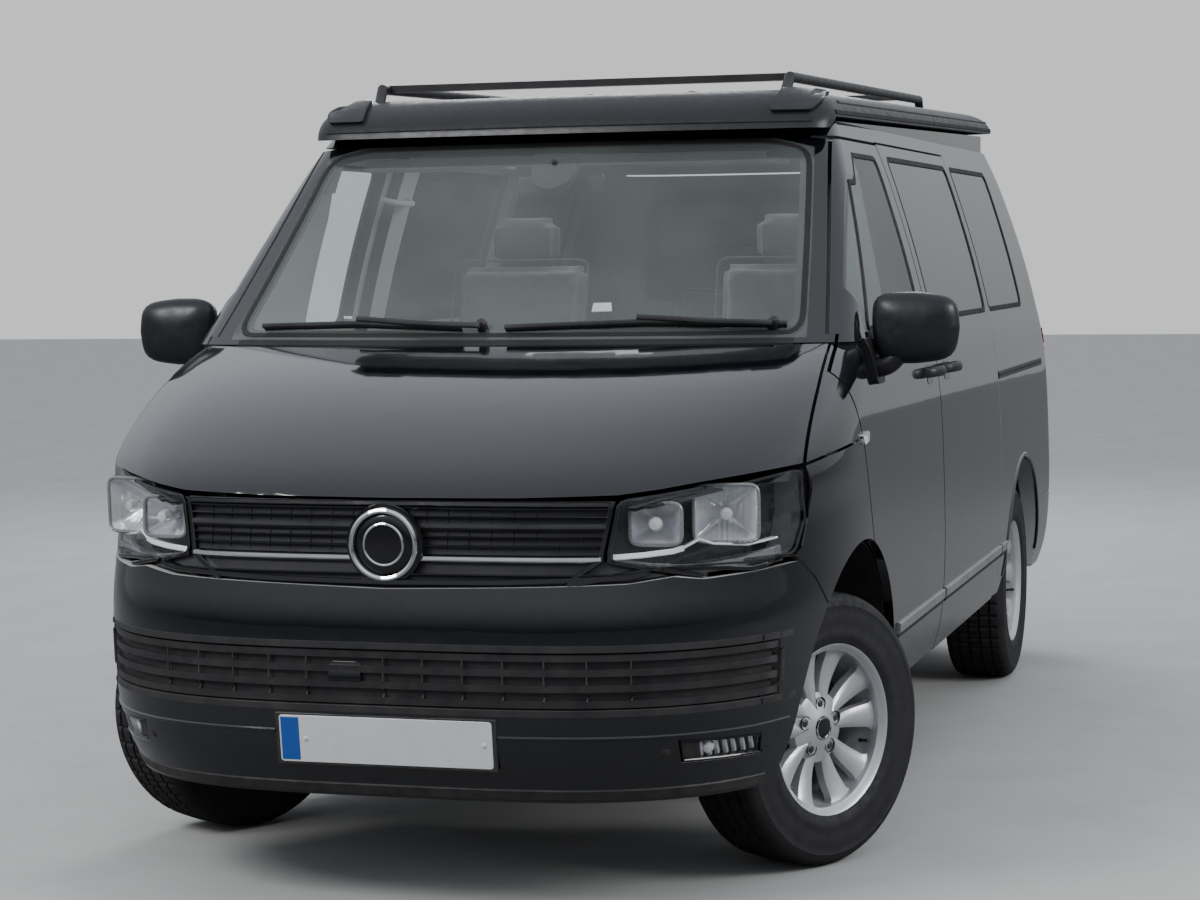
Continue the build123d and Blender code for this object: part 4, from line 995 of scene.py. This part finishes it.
def doorMirror(side, tag, s):
    body = "door_" + tag
    cx, cy, cz = s["middle"]
    hx, hy, hz = s["half"]
    points, faces = [], []
    rings, count = 18, 48
    for i in range(rings + 1):
        lift = math.sin(math.pi * (i / rings - 0.5))
        reach = (1 - abs(lift) ** s["dome"]) ** (1 / s["dome"])
        for k in range(count):
            turn = 2 * math.pi * k / count
            c, n = math.cos(turn), math.sin(turn)
            r = 1 / (abs(c) ** s["square"] + abs(n) ** s["square"]) ** (1 / s["square"])
            x, z = r * c * reach, r * n * reach
            taper = 1 - 0.10 * max(0, -z) - 0.06 * max(0, x) * max(0, z)
            back = min(lift, 0.80)
            points.append((side * (cx + hx * x * taper), cy + hy * back, cz + hz * z * (1 - 0.12 * max(0, x))))
    for i in range(rings):
        faces += [(i * count + k, i * count + (k + 1) % count, (i + 1) * count + (k + 1) % count,
                   (i + 1) * count + k)
                  for k in range(count)]
    shell = makePiece("mirrorShell" + tag, points, faces, "lid", body, replaces=["mirror_" + tag])
    glass = rounded([(-0.093, -0.070), (0.088, -0.066), (0.086, 0.068), (-0.09, 0.072)], 0.03)
    outline = [(side * (cx + a), cy + hy * 0.81, cz + b) for a, b in glass]
    deep = [(x, y + 0.003, z) for x, y, z in outline]
    n = len(outline)
    makePiece("mirrorGlass" + tag, outline + deep, [tuple(range(n)), tuple(range(n, 2 * n))] +
              [(k, (k + 1) % n, n + (k + 1) % n, n + k) for k in range(n)], "mirrorGlass", body)
    lip = [Vector((side * (cx + a * 1.04), cy + hy * 0.80, cz + b * 1.05)) for a, b in glass]
    sweepLine("mirrorLip" + tag, lip, [Vector((0, 1, 0))] * n, bandSection(0.008, -0.004, 0.006), "plastic",
              body, closed=True)
    arm = [(0.905, -1.300, 1.232), (0.935, -1.302, 1.228), (0.965, -1.302, 1.235), (0.990, -1.300, 1.262)]
    tube("mirrorArm" + tag, [(side * x, y, z) for x, y, z in arm], 0.026, "plastic", body, steps=16)
    base = [(-1.375, 1.305), (-1.335, 1.185), (-1.235, 1.185), (-1.225, 1.300)]
    patch("mirrorBase" + tag, treeOf(["door_" + tag, "door_glass_" + tag]), tag, rounded(base, 0.02),
          "plastic", body, low=-0.002,
          high=0.014, cell=0.03, edge=0.004)


handleSet = {"z": 1.176, "front": -0.470, "slider": -0.170, "long": 0.165, "high": 0.030}


def doorHandle(name, tree, side, body, middle, s):
    z, half = s["z"], s["long"] / 2
    cup = rounded([(middle - half * 0.62, z - 0.032), (middle + half * 0.62, z - 0.032),
                   (middle + half * 0.62, z + 0.026),
                   (middle - half * 0.62, z + 0.026)], 0.022)
    patch(name + "Cup", tree, side, cup, "glossPlastic", body, low=-0.006, high=0.0012, cell=0.02, edge=0.0008)
    spots = [landOn(tree, side, middle + half * (k / 8 - 1), z + 0.002) for k in range(17)]
    lifts = [0.004 + 0.036 * math.sin(math.pi * min(1, max(0, k / 16))) ** 0.45 for k in range(17)]
    places = [p + n * h for (p, n), h in zip(spots, lifts)]
    section = [(0.013 * math.cos(t) * 1.1,
                0.008 * math.sin(t)) for t in [2 * math.pi * k / 12 for k in range(12)]]
    sweepLine(name + "Pull", places, [n for _, n in spots], section, "plastic", body)
    place, normal = landOn(tree, side, middle + half * 0.99, z - 0.002)
    turned(name + "Barrel", [(0, 0.009), (0.008, 0.0085), (0.0105, 0.006), (0.013, 0.0), (0.013, -0.004)],
           aimed(place, normal),
           "chrome", body, steps=24)


mouldingSet = {"low": 0.506, "high": 0.535, "wide": 0.031, "proud": 0.008}


def sideTrim(side, tag):
    door = treeOf(["door_" + tag])
    rear = treeOf(["sliding_door", "side_panel_left"] if side > 0 else ["side_panel_right"])
    z = (mouldingSet["low"] + mouldingSet["high"]) / 2
    for name, tree, body, y0, y1 in (("Door", door, "door_" + tag, -1.085, -0.338),
                                     ("Rear", rear, "body", -0.300, 0.862),
                                     ("Tail", rear, "body", 0.885, 1.010)):
        strip("moulding" + name + tag, tree, tag, [(y0, z), (y1, z)], mouldingSet["wide"], "lampGrey", body,
              low=-0.002,
              high=mouldingSet["proud"], edge=0.004)
        strip("mouldingFoot" + name + tag, tree, tag, [(y0, z - 0.021), (y1, z - 0.021)], 0.011, "rubber",
              body, low=-0.002,
              high=mouldingSet["proud"] - 0.003, edge=0.002)
    doorHandle("doorHandle" + tag, door, tag, "door_" + tag, handleSet["front"], handleSet)
    wing = treeOf(["side_panel_left" if side > 0 else "side_panel_right", "front_wings", "door_" + tag])
    lamp = rounded([(-1.566, 1.046), (-1.500, 1.052), (-1.492, 1.072), (-1.505, 1.078), (-1.566, 1.072)], 0.012)
    patch("repeater" + tag, wing, tag, lamp, "whiteLens", "body", low=-0.003, high=0.009, cell=0.02, edge=0.003)
    windows = {"door": ([(-1.255, 1.325), (-0.440, 1.325), (-0.440, 1.793), (-0.905, 1.793)], "door_" + tag,
                        ["door_glass_" + tag]),
               "middle": ([(-0.252, 1.327), (-0.252, 1.797), (0.822, 1.797), (0.828, 1.327)], "body",
                          ["side_glass"]),
               "quarter": ([(0.918, 1.327), (0.912, 1.797), (1.720, 1.797), (1.730, 1.327)], "body",
                           ["side_glass"])}
    for name, (line, body, names) in windows.items():
        loop = rounded(line, 0.035)
        tree = treeOf(names)
        strip("seal" + name + tag, tree, tag, loop, 0.017, "rubber", body, low=-0.002, high=0.0035,
              closed=True, edge=0.002)
        if name != "door":
            strip("frit" + name + tag, tree, tag, loop, 0.055, "glossPlastic", body, low=-0.0062, high=-0.0054,
                  closed=True, edge=0.0002)
    waist = treeOf(["door_" + tag])
    strip("waistSeal" + tag, waist, tag, [(-1.30, 1.312), (-0.440, 1.312)], 0.018, "rubber", "door_" + tag,
          low=-0.002, high=0.004)
    arches = treeOf(["side_panel_left", "door_left", "front_wings", "front_bumper"] if side > 0 else
                    ["side_panel_right", "door_right", "front_wings", "front_bumper"])
    ring = [(1.456 + 0.447 * math.cos(math.radians(a)),
             0.350 + 0.447 * math.sin(math.radians(a))) for a in range(8, 173, 4)]
    strip("archEdge" + tag, arches, tag, ring, 0.016, "paintOnly", "body", low=-0.006, high=0.004, edge=0.004,
          step=1)


windscreenTrim(screenSet)
wipers(wiperSet)
for side, tag in ((1, "left"), (-1, "right")):
    doorMirror(side, tag, mirrorSet)
    sideTrim(side, tag)
doorHandle("sliderHandle", treeOf(["sliding_door"]), "left", "body", handleSet["slider"], handleSet)
strip("sliderRail", treeOf(["side_panel_left"]), "left", [(0.890, 1.106), (2.02, 1.106)], 0.026, "plastic",
      "body", low=-0.002, high=0.0025)
strip("sliderRailSlot", treeOf(["side_panel_left"]), "left", [(0.890, 1.106), (2.015, 1.106)], 0.010, "rubber",
      "body", low=0.0, high=0.0032)
flap = rounded([(-0.215, 0.775), (-0.045, 0.775), (-0.045, 0.935), (-0.215, 0.935)], 0.035)
strip("fuelFlapGap", treeOf(["side_panel_right"]), "right", flap, 0.004, "rubber", "body", low=-0.001,
      high=0.0006, closed=True, edge=0.0002)
print("glass trim, mirrors and side trim built")

# tail: lamps, plate, handle, rear wiper, lights

tailSet = {"lampTop": 1.290, "lampLow": 0.942, "lampIn": 0.818, "handleZ": 1.03}


def tail(s):
    skin = treeOf(["tail_lamps"])
    gate = treeOf(["tailgate", "tailgate_glass"])
    for side, tag in ((1, "Left"), (-1, "Right")):
        look = "left" if side > 0 else "right"
        for i, (low, high, colour) in enumerate(((0.944, 1.030, "redLens"), (1.036, 1.080, "whiteLens"),
                                                 (1.086, 1.160, "amberLens"),
                                                 (1.166, 1.286, "redLens"))):
            outline = rounded([(side * 0.820, low), (side * 0.925, low), (side * 0.925, high),
                               (side * 0.820, high)], 0.008)
            patch(f"tailLens{i}" + tag, skin, "rear", outline, colour, "body", low=-0.002, high=0.0045,
                  cell=0.02, edge=0.002)
        strip("tailSeal" + tag, skin, "rear", [(side * 0.816, 0.938), (side * 0.816, 1.292)], 0.006, "rubber",
              "body", high=0.004)
        outline = rounded([(side * 0.62, 0.43), (side * 0.80, 0.43), (side * 0.80, 0.475),
                           (side * 0.62, 0.475)], 0.01)
        patch("rearReflector" + tag, treeOf(["rear_bumper"]), "rear", outline, "redLens", "body", high=0.004,
              cell=0.04)
    window = rounded([(-0.675, 1.345), (0.675, 1.345), (0.618, 1.758), (-0.618, 1.758)], 0.035)
    glass = treeOf(["tailgate_glass"])
    strip("tailGlassSeal", glass, "rear", window, 0.018, "rubber", "tailgate", low=-0.002, high=0.0035,
          closed=True)
    strip("tailGlassFrit", glass, "rear", window, 0.060, "glossPlastic", "tailgate", low=-0.0062, high=-0.0054,
          closed=True, edge=0.0002)
    for k in range(11):
        z = 1.39 + 0.033 * k
        half = 0.63 - (z - 1.345) * 0.12
        strip(f"heatLine{k}", glass, "rear", [(-half, z), (half, z)], 0.0015, "darkMetal", "tailgate",
              low=-0.0056, high=-0.0052, edge=0.0001)
    y = landOn(gate, "rear", 0.26, 0.90)[0].y
    numberPlate("rearPlate", y + 0.006, 0.905, plateSet, "plateYellow", 1, "tailgate")
    box("rearPlateHolder", (-0.268, y - 0.004, 0.842), (0.268, y + 0.0022, 0.968), "plastic", "tailgate",
        edge=0.002)
    patch("tailHandle", gate, "rear", rounded([(-0.29, 0.985), (0.29, 0.985), (0.30, 1.060), (-0.30, 1.060)],
                                              0.018), "glossPlastic",
          "tailgate", low=-0.002, high=0.012, cell=0.04, edge=0.005)
    patch("tailHandleGrip", gate, "rear", rounded([(-0.10, 0.978), (0.10, 0.978), (0.10, 1.0), (-0.10, 1.0)],
                                                  0.006), "rubber",
          "tailgate", low=0.0, high=0.016, cell=0.04, edge=0.003)
    for x in (-0.2, 0.2):
        patch(f"plateLamp{int(x * 10)}", gate, "rear", rounded([(x - 0.03, 0.975), (x + 0.03, 0.975),
                                                                (x + 0.03, 0.986), (x - 0.03, 0.986)],
              0.003), "whiteLens", "tailgate", low=0.0, high=0.013, cell=0.04)
    place, normal = landOn(gate, "rear", 0.0, 1.375)
    turned("rearWiperPivot", [(0, 0.030), (0.014, 0.029), (0.02, 0.022), (0.022, 0.0), (0.022, -0.004)],
           aimed(place, normal), "plastic",
           "tailgate", steps=28)
    strip("rearWiperArm", gate, "rear", [(0.0, 1.375), (-0.22, 1.372), (-0.36, 1.368)], 0.018, "plastic",
          "tailgate", low=0.012, high=0.024, edge=0.004)
    strip("rearWiperBlade", gate, "rear", [(-0.10, 1.362), (-0.48, 1.358)], 0.010, "rubber", "tailgate",
          low=0.001, high=0.013, edge=0.002)
    patch("highStopLamp", gate, "rear", rounded([(-0.13, 1.782), (0.13, 1.782), (0.13, 1.800), (-0.13, 1.800)],
                                                0.006), "redLens", "tailgate",
          low=-0.002, high=0.006, cell=0.04)
    strip("loadSill", treeOf(["rear_bumper"]), "rear", [(-0.72, 0.575), (0.72, 0.575)], 0.030, "plastic",
          "body", low=-0.004, high=0.0)


tail(tailSet)
print("tail built")

# cabin: padded seats, dashboard details, mirror and visors

seatSet = {
    "x": 0.430, "y": -0.640, "low": 0.800, "backTilt": -14, "voxel": 0.011, "pressure": 4.0, "cap": 0.020,
    "frames": 20, "seam": 0.006, "shrink": 0.012,
}
benchSet = {"low": (-0.380, 0.880, 0.780), "high": (0.600, 1.400, 0.900), "backTilt": -12}


def blownUp(mesh, s):
    # A closed mesh swollen by cloth pressure, with each point's travel capped
    scene = bpy.context.scene
    piece = bpy.data.objects.new("soft", mesh)
    scene.collection.objects.link(piece)
    cloth = piece.modifiers.new("cloth", "CLOTH")
    cloth.settings.use_pressure = True
    cloth.settings.uniform_pressure_force = s["pressure"]
    cloth.settings.effector_weights.gravity = 0
    cloth.settings.quality = 5
    cloth.collision_settings.use_self_collision = False
    for frameNumber in range(1, s["frames"] + 1):
        scene.frame_set(frameNumber)
    swollen = piece.evaluated_get(bpy.context.evaluated_depsgraph_get()).to_mesh()
    after = [v.co.copy() for v in swollen.vertices]
    scene.frame_set(1)
    bpy.data.objects.remove(piece)
    for v, place in zip(mesh.vertices, after):
        move = place - v.co
        v.co += move * min(1.0, s["cap"] / max(move.length, 1e-6))


def cushion(name, size, seams, s):
    # A padded block about its own middle, crowned on top, with sewn channels along y
    work = bmesh.new()
    bmesh.ops.create_cube(work, size=1)
    for v in work.verts:
        v.co = Vector(v.co[k] * (size[k] - 2 * s["shrink"]) for k in range(3))
    bmesh.ops.bevel(work, geom=work.edges[:], offset=0.030, segments=3, affect="EDGES")
    mesh = bpy.data.meshes.new(name)
    work.to_mesh(mesh)
    work.free()
    rough = bpy.data.objects.new(name + "Rough", mesh)
    bpy.context.scene.collection.objects.link(rough)
    remesh = rough.modifiers.new("remesh", "REMESH")
    remesh.mode = "VOXEL"
    remesh.voxel_size = s["voxel"]
    bpy.context.view_layer.update()
    mesh = bpy.data.meshes.new_from_object(rough.evaluated_get(bpy.context.evaluated_depsgraph_get()))
    bpy.data.objects.remove(rough)
    blownUp(mesh, s)
    limit = [size[k] / 2 for k in range(3)]
    for v in mesh.vertices:
        for x, straight in seams:
            v.co.z -= s["seam"] * math.exp(-((v.co.x if straight else v.co.y) - x) ** 2 / 0.00008) * (v.co.z > 0)
        v.co = Vector(max(-limit[k], min(limit[k], v.co[k])) for k in range(3))
    return mesh


def softPiece(name, mesh, matrix, look, body, replaces=()):
    mesh = mesh.copy()
    mesh.transform(matrix)
    mesh.materials.clear()
    mesh.materials.append(mat[look])
    mesh.shade_smooth()
    piece = bpy.data.objects.new(name, mesh)
    bpy.context.scene.collection.objects.link(piece)
    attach(piece, body)
    if replaces:
        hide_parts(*replaces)
    return piece


def piping(name, size, matrix, look, body):
    # A sewn edge round the top of a cushion
    x, y, z = (v / 2 - 0.019 for v in size)
    line = [matrix @ Vector((*p, z)) for p in rounded([(-x, -y), (x, -y), (x, y), (-x, y)], 0.036)]
    section = [(0.004 * math.cos(math.pi * k / 3), 0.004 * math.sin(math.pi * k / 3)) for k in range(6)]
    up = matrix.to_3x3() @ Vector((0, 0, 1))
    sweepLine(name, line, [up] * len(line), section, look, body, closed=True)


def leant(place, tilt, lift):
    # A seat back's matrix: its face looks forward and it leans back about its foot
    lean = Matrix.Rotation(math.radians(tilt), 4, "X")
    return Matrix.Translation(place) @ lean @ Matrix.Translation((0, 0,
            lift)) @ Matrix.Rotation(math.radians(90), 4, "X")


def cabinSeats(s, b):
    base = cushion("seatBase", (0.500, 0.500, 0.150), [(-0.15, True), (0.15, True), (0.12, False),
                                                       (-0.10, False)], s)
    back = cushion("seatBack", (0.480, 0.640, 0.120), [(-0.15, True), (0.15, True), (0.16, False),
                                                       (-0.12, False)], s)
    rest = cushion("seatRest", (0.260, 0.190, 0.090), [], s)
    for side, tag in ((1, "Left"), (-1, "Right")):
        x = side * s["x"]
        seat = Matrix.Translation((x, s["y"] + 0.210, s["low"] + 0.075))
        softPiece("seatCushion" + tag, base, seat, "seatCloth", "body", ["front_seats"] if side > 0 else ())
        piping("seatPiping" + tag, (0.500, 0.500, 0.150), seat, "seatSide", "body")
        upright = leant((x, s["y"] + 0.470, s["low"] + 0.090), s["backTilt"], 0.330)
        softPiece("seatBack" + tag, back, upright, "seatCloth", "body")
        piping("backPiping" + tag, (0.480, 0.640, 0.120), upright, "seatSide", "body")
        head = Matrix.Translation((x, s["y"] + 0.640, s["low"] + 0.770)) @ Matrix.Rotation(math.radians(90), 4,
                                                                                           "X")
        softPiece("headrest" + tag, rest, head, "seatSide", "body")
        box("seatBox" + tag, (x - 0.22, s["y"] + 0.02, 0.490), (x + 0.22, s["y"] + 0.44, 0.800), "darkTrim",
            "body", edge=0.012)
        for dx in (-0.06, 0.06):
            tube(f"restPost{int(dx * 100)}" + tag, [(x + dx, s["y"] + 0.612, 1.40),
                                                    (x + dx, s["y"] + 0.628, 1.49)], 0.006,
                 "chrome", "body", smooth=0)
        hinge = [(0, 0.012), (0.030, 0.011), (0.036, 0.004), (0.036, -0.006)]
        turned("recliner" + tag, hinge, aimed((x + side * 0.245, s["y"] + 0.44, s["low"] + 0.10),
                                              (side, 0, 0)), "plastic",
               "body", steps=32)
    size = [h - l for l, h in zip(b["low"], b["high"])]
    middle = Vector((l + h) / 2 for l, h in zip(b["low"], b["high"]))
    bench = cushion("benchBase", size, [(-0.245, True), (0.0, True), (0.245, True)], s)
    place = Matrix.Translation(middle)
    softPiece("benchCushion", bench, place, "seatCloth", "body", ["rear_bench"])
    piping("benchPiping", size, place, "seatSide", "body")
    benchBack = cushion("benchBack", (0.980, 0.660, 0.110),
                        [(-0.245, True), (0.0, True), (0.245, True), (0.15, False)], s)
    upright = leant((0.110, 1.450, 0.780), b["backTilt"], 0.330)
    softPiece("benchBackrest", benchBack, upright, "seatCloth", "body")
    piping("benchBackPiping", (0.980, 0.660, 0.110), upright, "seatSide", "body")
    small = cushion("benchRest", (0.250, 0.150, 0.080), [], s)
    for x in (-0.130, 0.350):
        head = Matrix.Translation((x, 1.590, 1.510)) @ Matrix.Rotation(math.radians(90), 4, "X")
        softPiece(f"benchHeadrest{int(x * 100)}", small, head, "seatSide", "body")
        tube(f"benchPost{int(x * 100)}", [(x, 1.575, 1.40), (x, 1.585, 1.45)], 0.008, "chrome", "body",
             smooth=0)
    box("benchBox", (-0.380, 0.900, 0.490), (0.600, 1.500, 0.780), "wood", "body", edge=0.006)


def dashDetails():
    hood = [(-0.53, -1.30, 1.262), (-0.23, -1.05, 1.305)]
    box("clusterHood", hood[0], hood[1], "darkTrim", "body", edge=0.02, segments=4)
    box("clusterFace", (-0.51, -1.062, 1.22), (-0.25, -1.046, 1.29), "glossPlastic", "body", edge=0.004)
    box("dashScreen", (-0.11, -1.100, 1.105), (0.11, -1.078, 1.215), "glossPlastic", "body", edge=0.006)
    for i, x in enumerate((-0.68, -0.17, 0.17, 0.68)):
        box(f"airVent{i}", (x - 0.055, -1.098, 1.125), (x + 0.055, -1.076, 1.185), "plastic", "body", edge=0.01)
        for k in range(4):
            z = 1.137 + 0.012 * k
            box(f"airFin{i}{k}", (x - 0.045, -1.082, z), (x + 0.045, -1.070, z + 0.003), "darkMetal", "body",
                edge=0.0008)
    box("gloveBox", (0.27, -1.122, 0.93), (0.70, -1.094, 1.09), "darkTrim", "body", edge=0.012)
    tube("gearLever", [(0.0, -1.06, 0.99), (0.0, -1.01, 1.06), (0.0, -0.99, 1.10)], 0.009, "plastic", "body")
    turned("gearKnob", [(0, 0.03), (0.014, 0.028), (0.022, 0.014), (0.021, -0.004), (0.010, -0.022)],
           aimed((0.0, -0.988, 1.115), (0, 0.1, 1)), "glossPlastic", "body", steps=28)
    box("cabinMirror", (-0.125, -1.035, 1.690), (0.125, -1.005, 1.752), "plastic", "body", edge=0.012,
        segments=3)
    box("cabinMirrorGlass", (-0.115, -1.006, 1.697), (0.115, -1.003, 1.745), "mirrorGlass", "body", edge=0.001)
    tube("cabinMirrorStem", [(0, -1.03, 1.74), (0, -1.06, 1.765), (0, -1.075, 1.785)], 0.008, "plastic", "body")
    for side, tag in ((1, "Left"), (-1, "Right")):
        low, high = (0.20, -0.945, 1.772), (0.60, -0.80, 1.790)
        lows = [min(side * low[0], side * high[0]), low[1], low[2]]
        highs = [max(side * low[0], side * high[0]), high[1], high[2]]
        box("sunVisor" + tag, lows, highs, "headliner", "body", edge=0.006, segments=3)
        tube("grabHandle" + tag, [(side * 0.716, -0.52, 1.70), (side * 0.680, -0.50, 1.69),
                                  (side * 0.680, -0.34, 1.69),
                                  (side * 0.716, -0.32, 1.70)], 0.010, "greyTrim", "body")


cabinSeats(seatSet, benchSet)
dashDetails()
print("cabin built")

# the elevating roof's folded canvas, its seal and its corner caps

canvasSet = {
    "half": 0.612, "front": -0.677, "rear": 1.787, "corner": 0.08, "low": 1.8965, "high": 1.9255, "folds": 7,
    "depth": 0.011, "tilt": 1.28, "pivot": (-1.0, 1.893),
}


def raised(y, z, s):
    # A point of the level lid turned up with it
    turn = math.radians(s["tilt"])
    dy, dz = y - s["pivot"][0], z - s["pivot"][1]
    return (s["pivot"][0] + dy * math.cos(turn) - dz * math.sin(turn),
            s["pivot"][1] + dy * math.sin(turn) + dz * math.cos(turn))


def roofCanvas(s):
    plan = rounded([(-s["half"], s["front"]), (s["half"], s["front"]), (s["half"], s["rear"]),
                    (-s["half"], s["rear"])], s["corner"])
    plan = resampled(plan, 0.06, closed=True)
    section = []
    count = 2 * s["folds"]
    for k in range(count + 1):
        section.append((s["depth"] * (0.5 - (k % 2)), s["low"] + (s["high"] - s["low"]) * k / count))
    points, faces = [], []
    wide = len(section)
    for i, (x, y) in enumerate(plan):
        ahead, behind = plan[(i + 1) % len(plan)], plan[i - 1]
        out = Vector((ahead[1] - behind[1], behind[0] - ahead[0])).normalized()
        for push, z in section:
            push *= 1 + 0.25 * math.sin(i * 1.7 + z * 300)
            points.append(Vector((x + out.x * push, *raised(y + out.y * push, z, s))))
    for i in range(len(plan)):
        j = (i + 1) % len(plan)
        faces += [(i * wide + k, i * wide + k + 1, j * wide + k + 1, j * wide + k) for k in range(wide - 1)]
    mesh = bpy.data.meshes.new("roofBellows")
    mesh.from_pydata([tuple(p) for p in points], [], faces)
    mesh.materials.append(mat["canvas"])
    fixNormals(mesh)
    canvas = bpy.data.objects.new("roofBellows", mesh)
    bpy.context.scene.collection.objects.link(canvas)
    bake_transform(canvas)
    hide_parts("roof_canvas")


def lidDetails():
    lid = treeOf(["roof_lid"])
    for side, tag in ((1, "left"), (-1, "right")):
        cap = [(side * 0.585, 1.905), (side * 0.700, 1.905), (side * 0.722, 1.940), (side * 0.700, 1.965),
               (side * 0.600, 1.972)]
        patch("lidCorner" + tag, lid, "front", rounded(cap, 0.015), "lid", "roof_lid", low=-0.003, high=0.011,
              cell=0.03, edge=0.008)
        strip("lidSeal" + tag, lid, tag, [(y / 10, 1.905 + (y / 10 + 1.0) * 0.0223) for y in range(-9, 22)],
              0.014, "rubber", "roof_lid",
              low=-0.002, high=0.003)
        strip("lidGutter" + tag, lid, tag, [(y / 10, 1.934 + (y / 10 + 1.0) * 0.0223) for y in range(-8, 22)],
              0.008, "lid", "roof_lid",
              low=-0.002, high=0.004)
    strip("lidLipFront", lid, "front", [(-0.70, 1.884), (0.70, 1.884)], 0.014, "rubber", "roof_lid",
          low=-0.002, high=0.003)
    for x in (-0.30, 0.0, 0.30):
        place, normal = landOn(lid, "top", x, -0.72)
        turned(f"lidStud{int(x * 10)}", [(0, 0.010), (0.009, 0.009), (0.013, 0.004), (0.015, -0.003)],
               aimed(place, normal), "plastic",
               "roof_lid", steps=24)


roofCanvas(canvasSet)
lidDetails()
print("roof built")
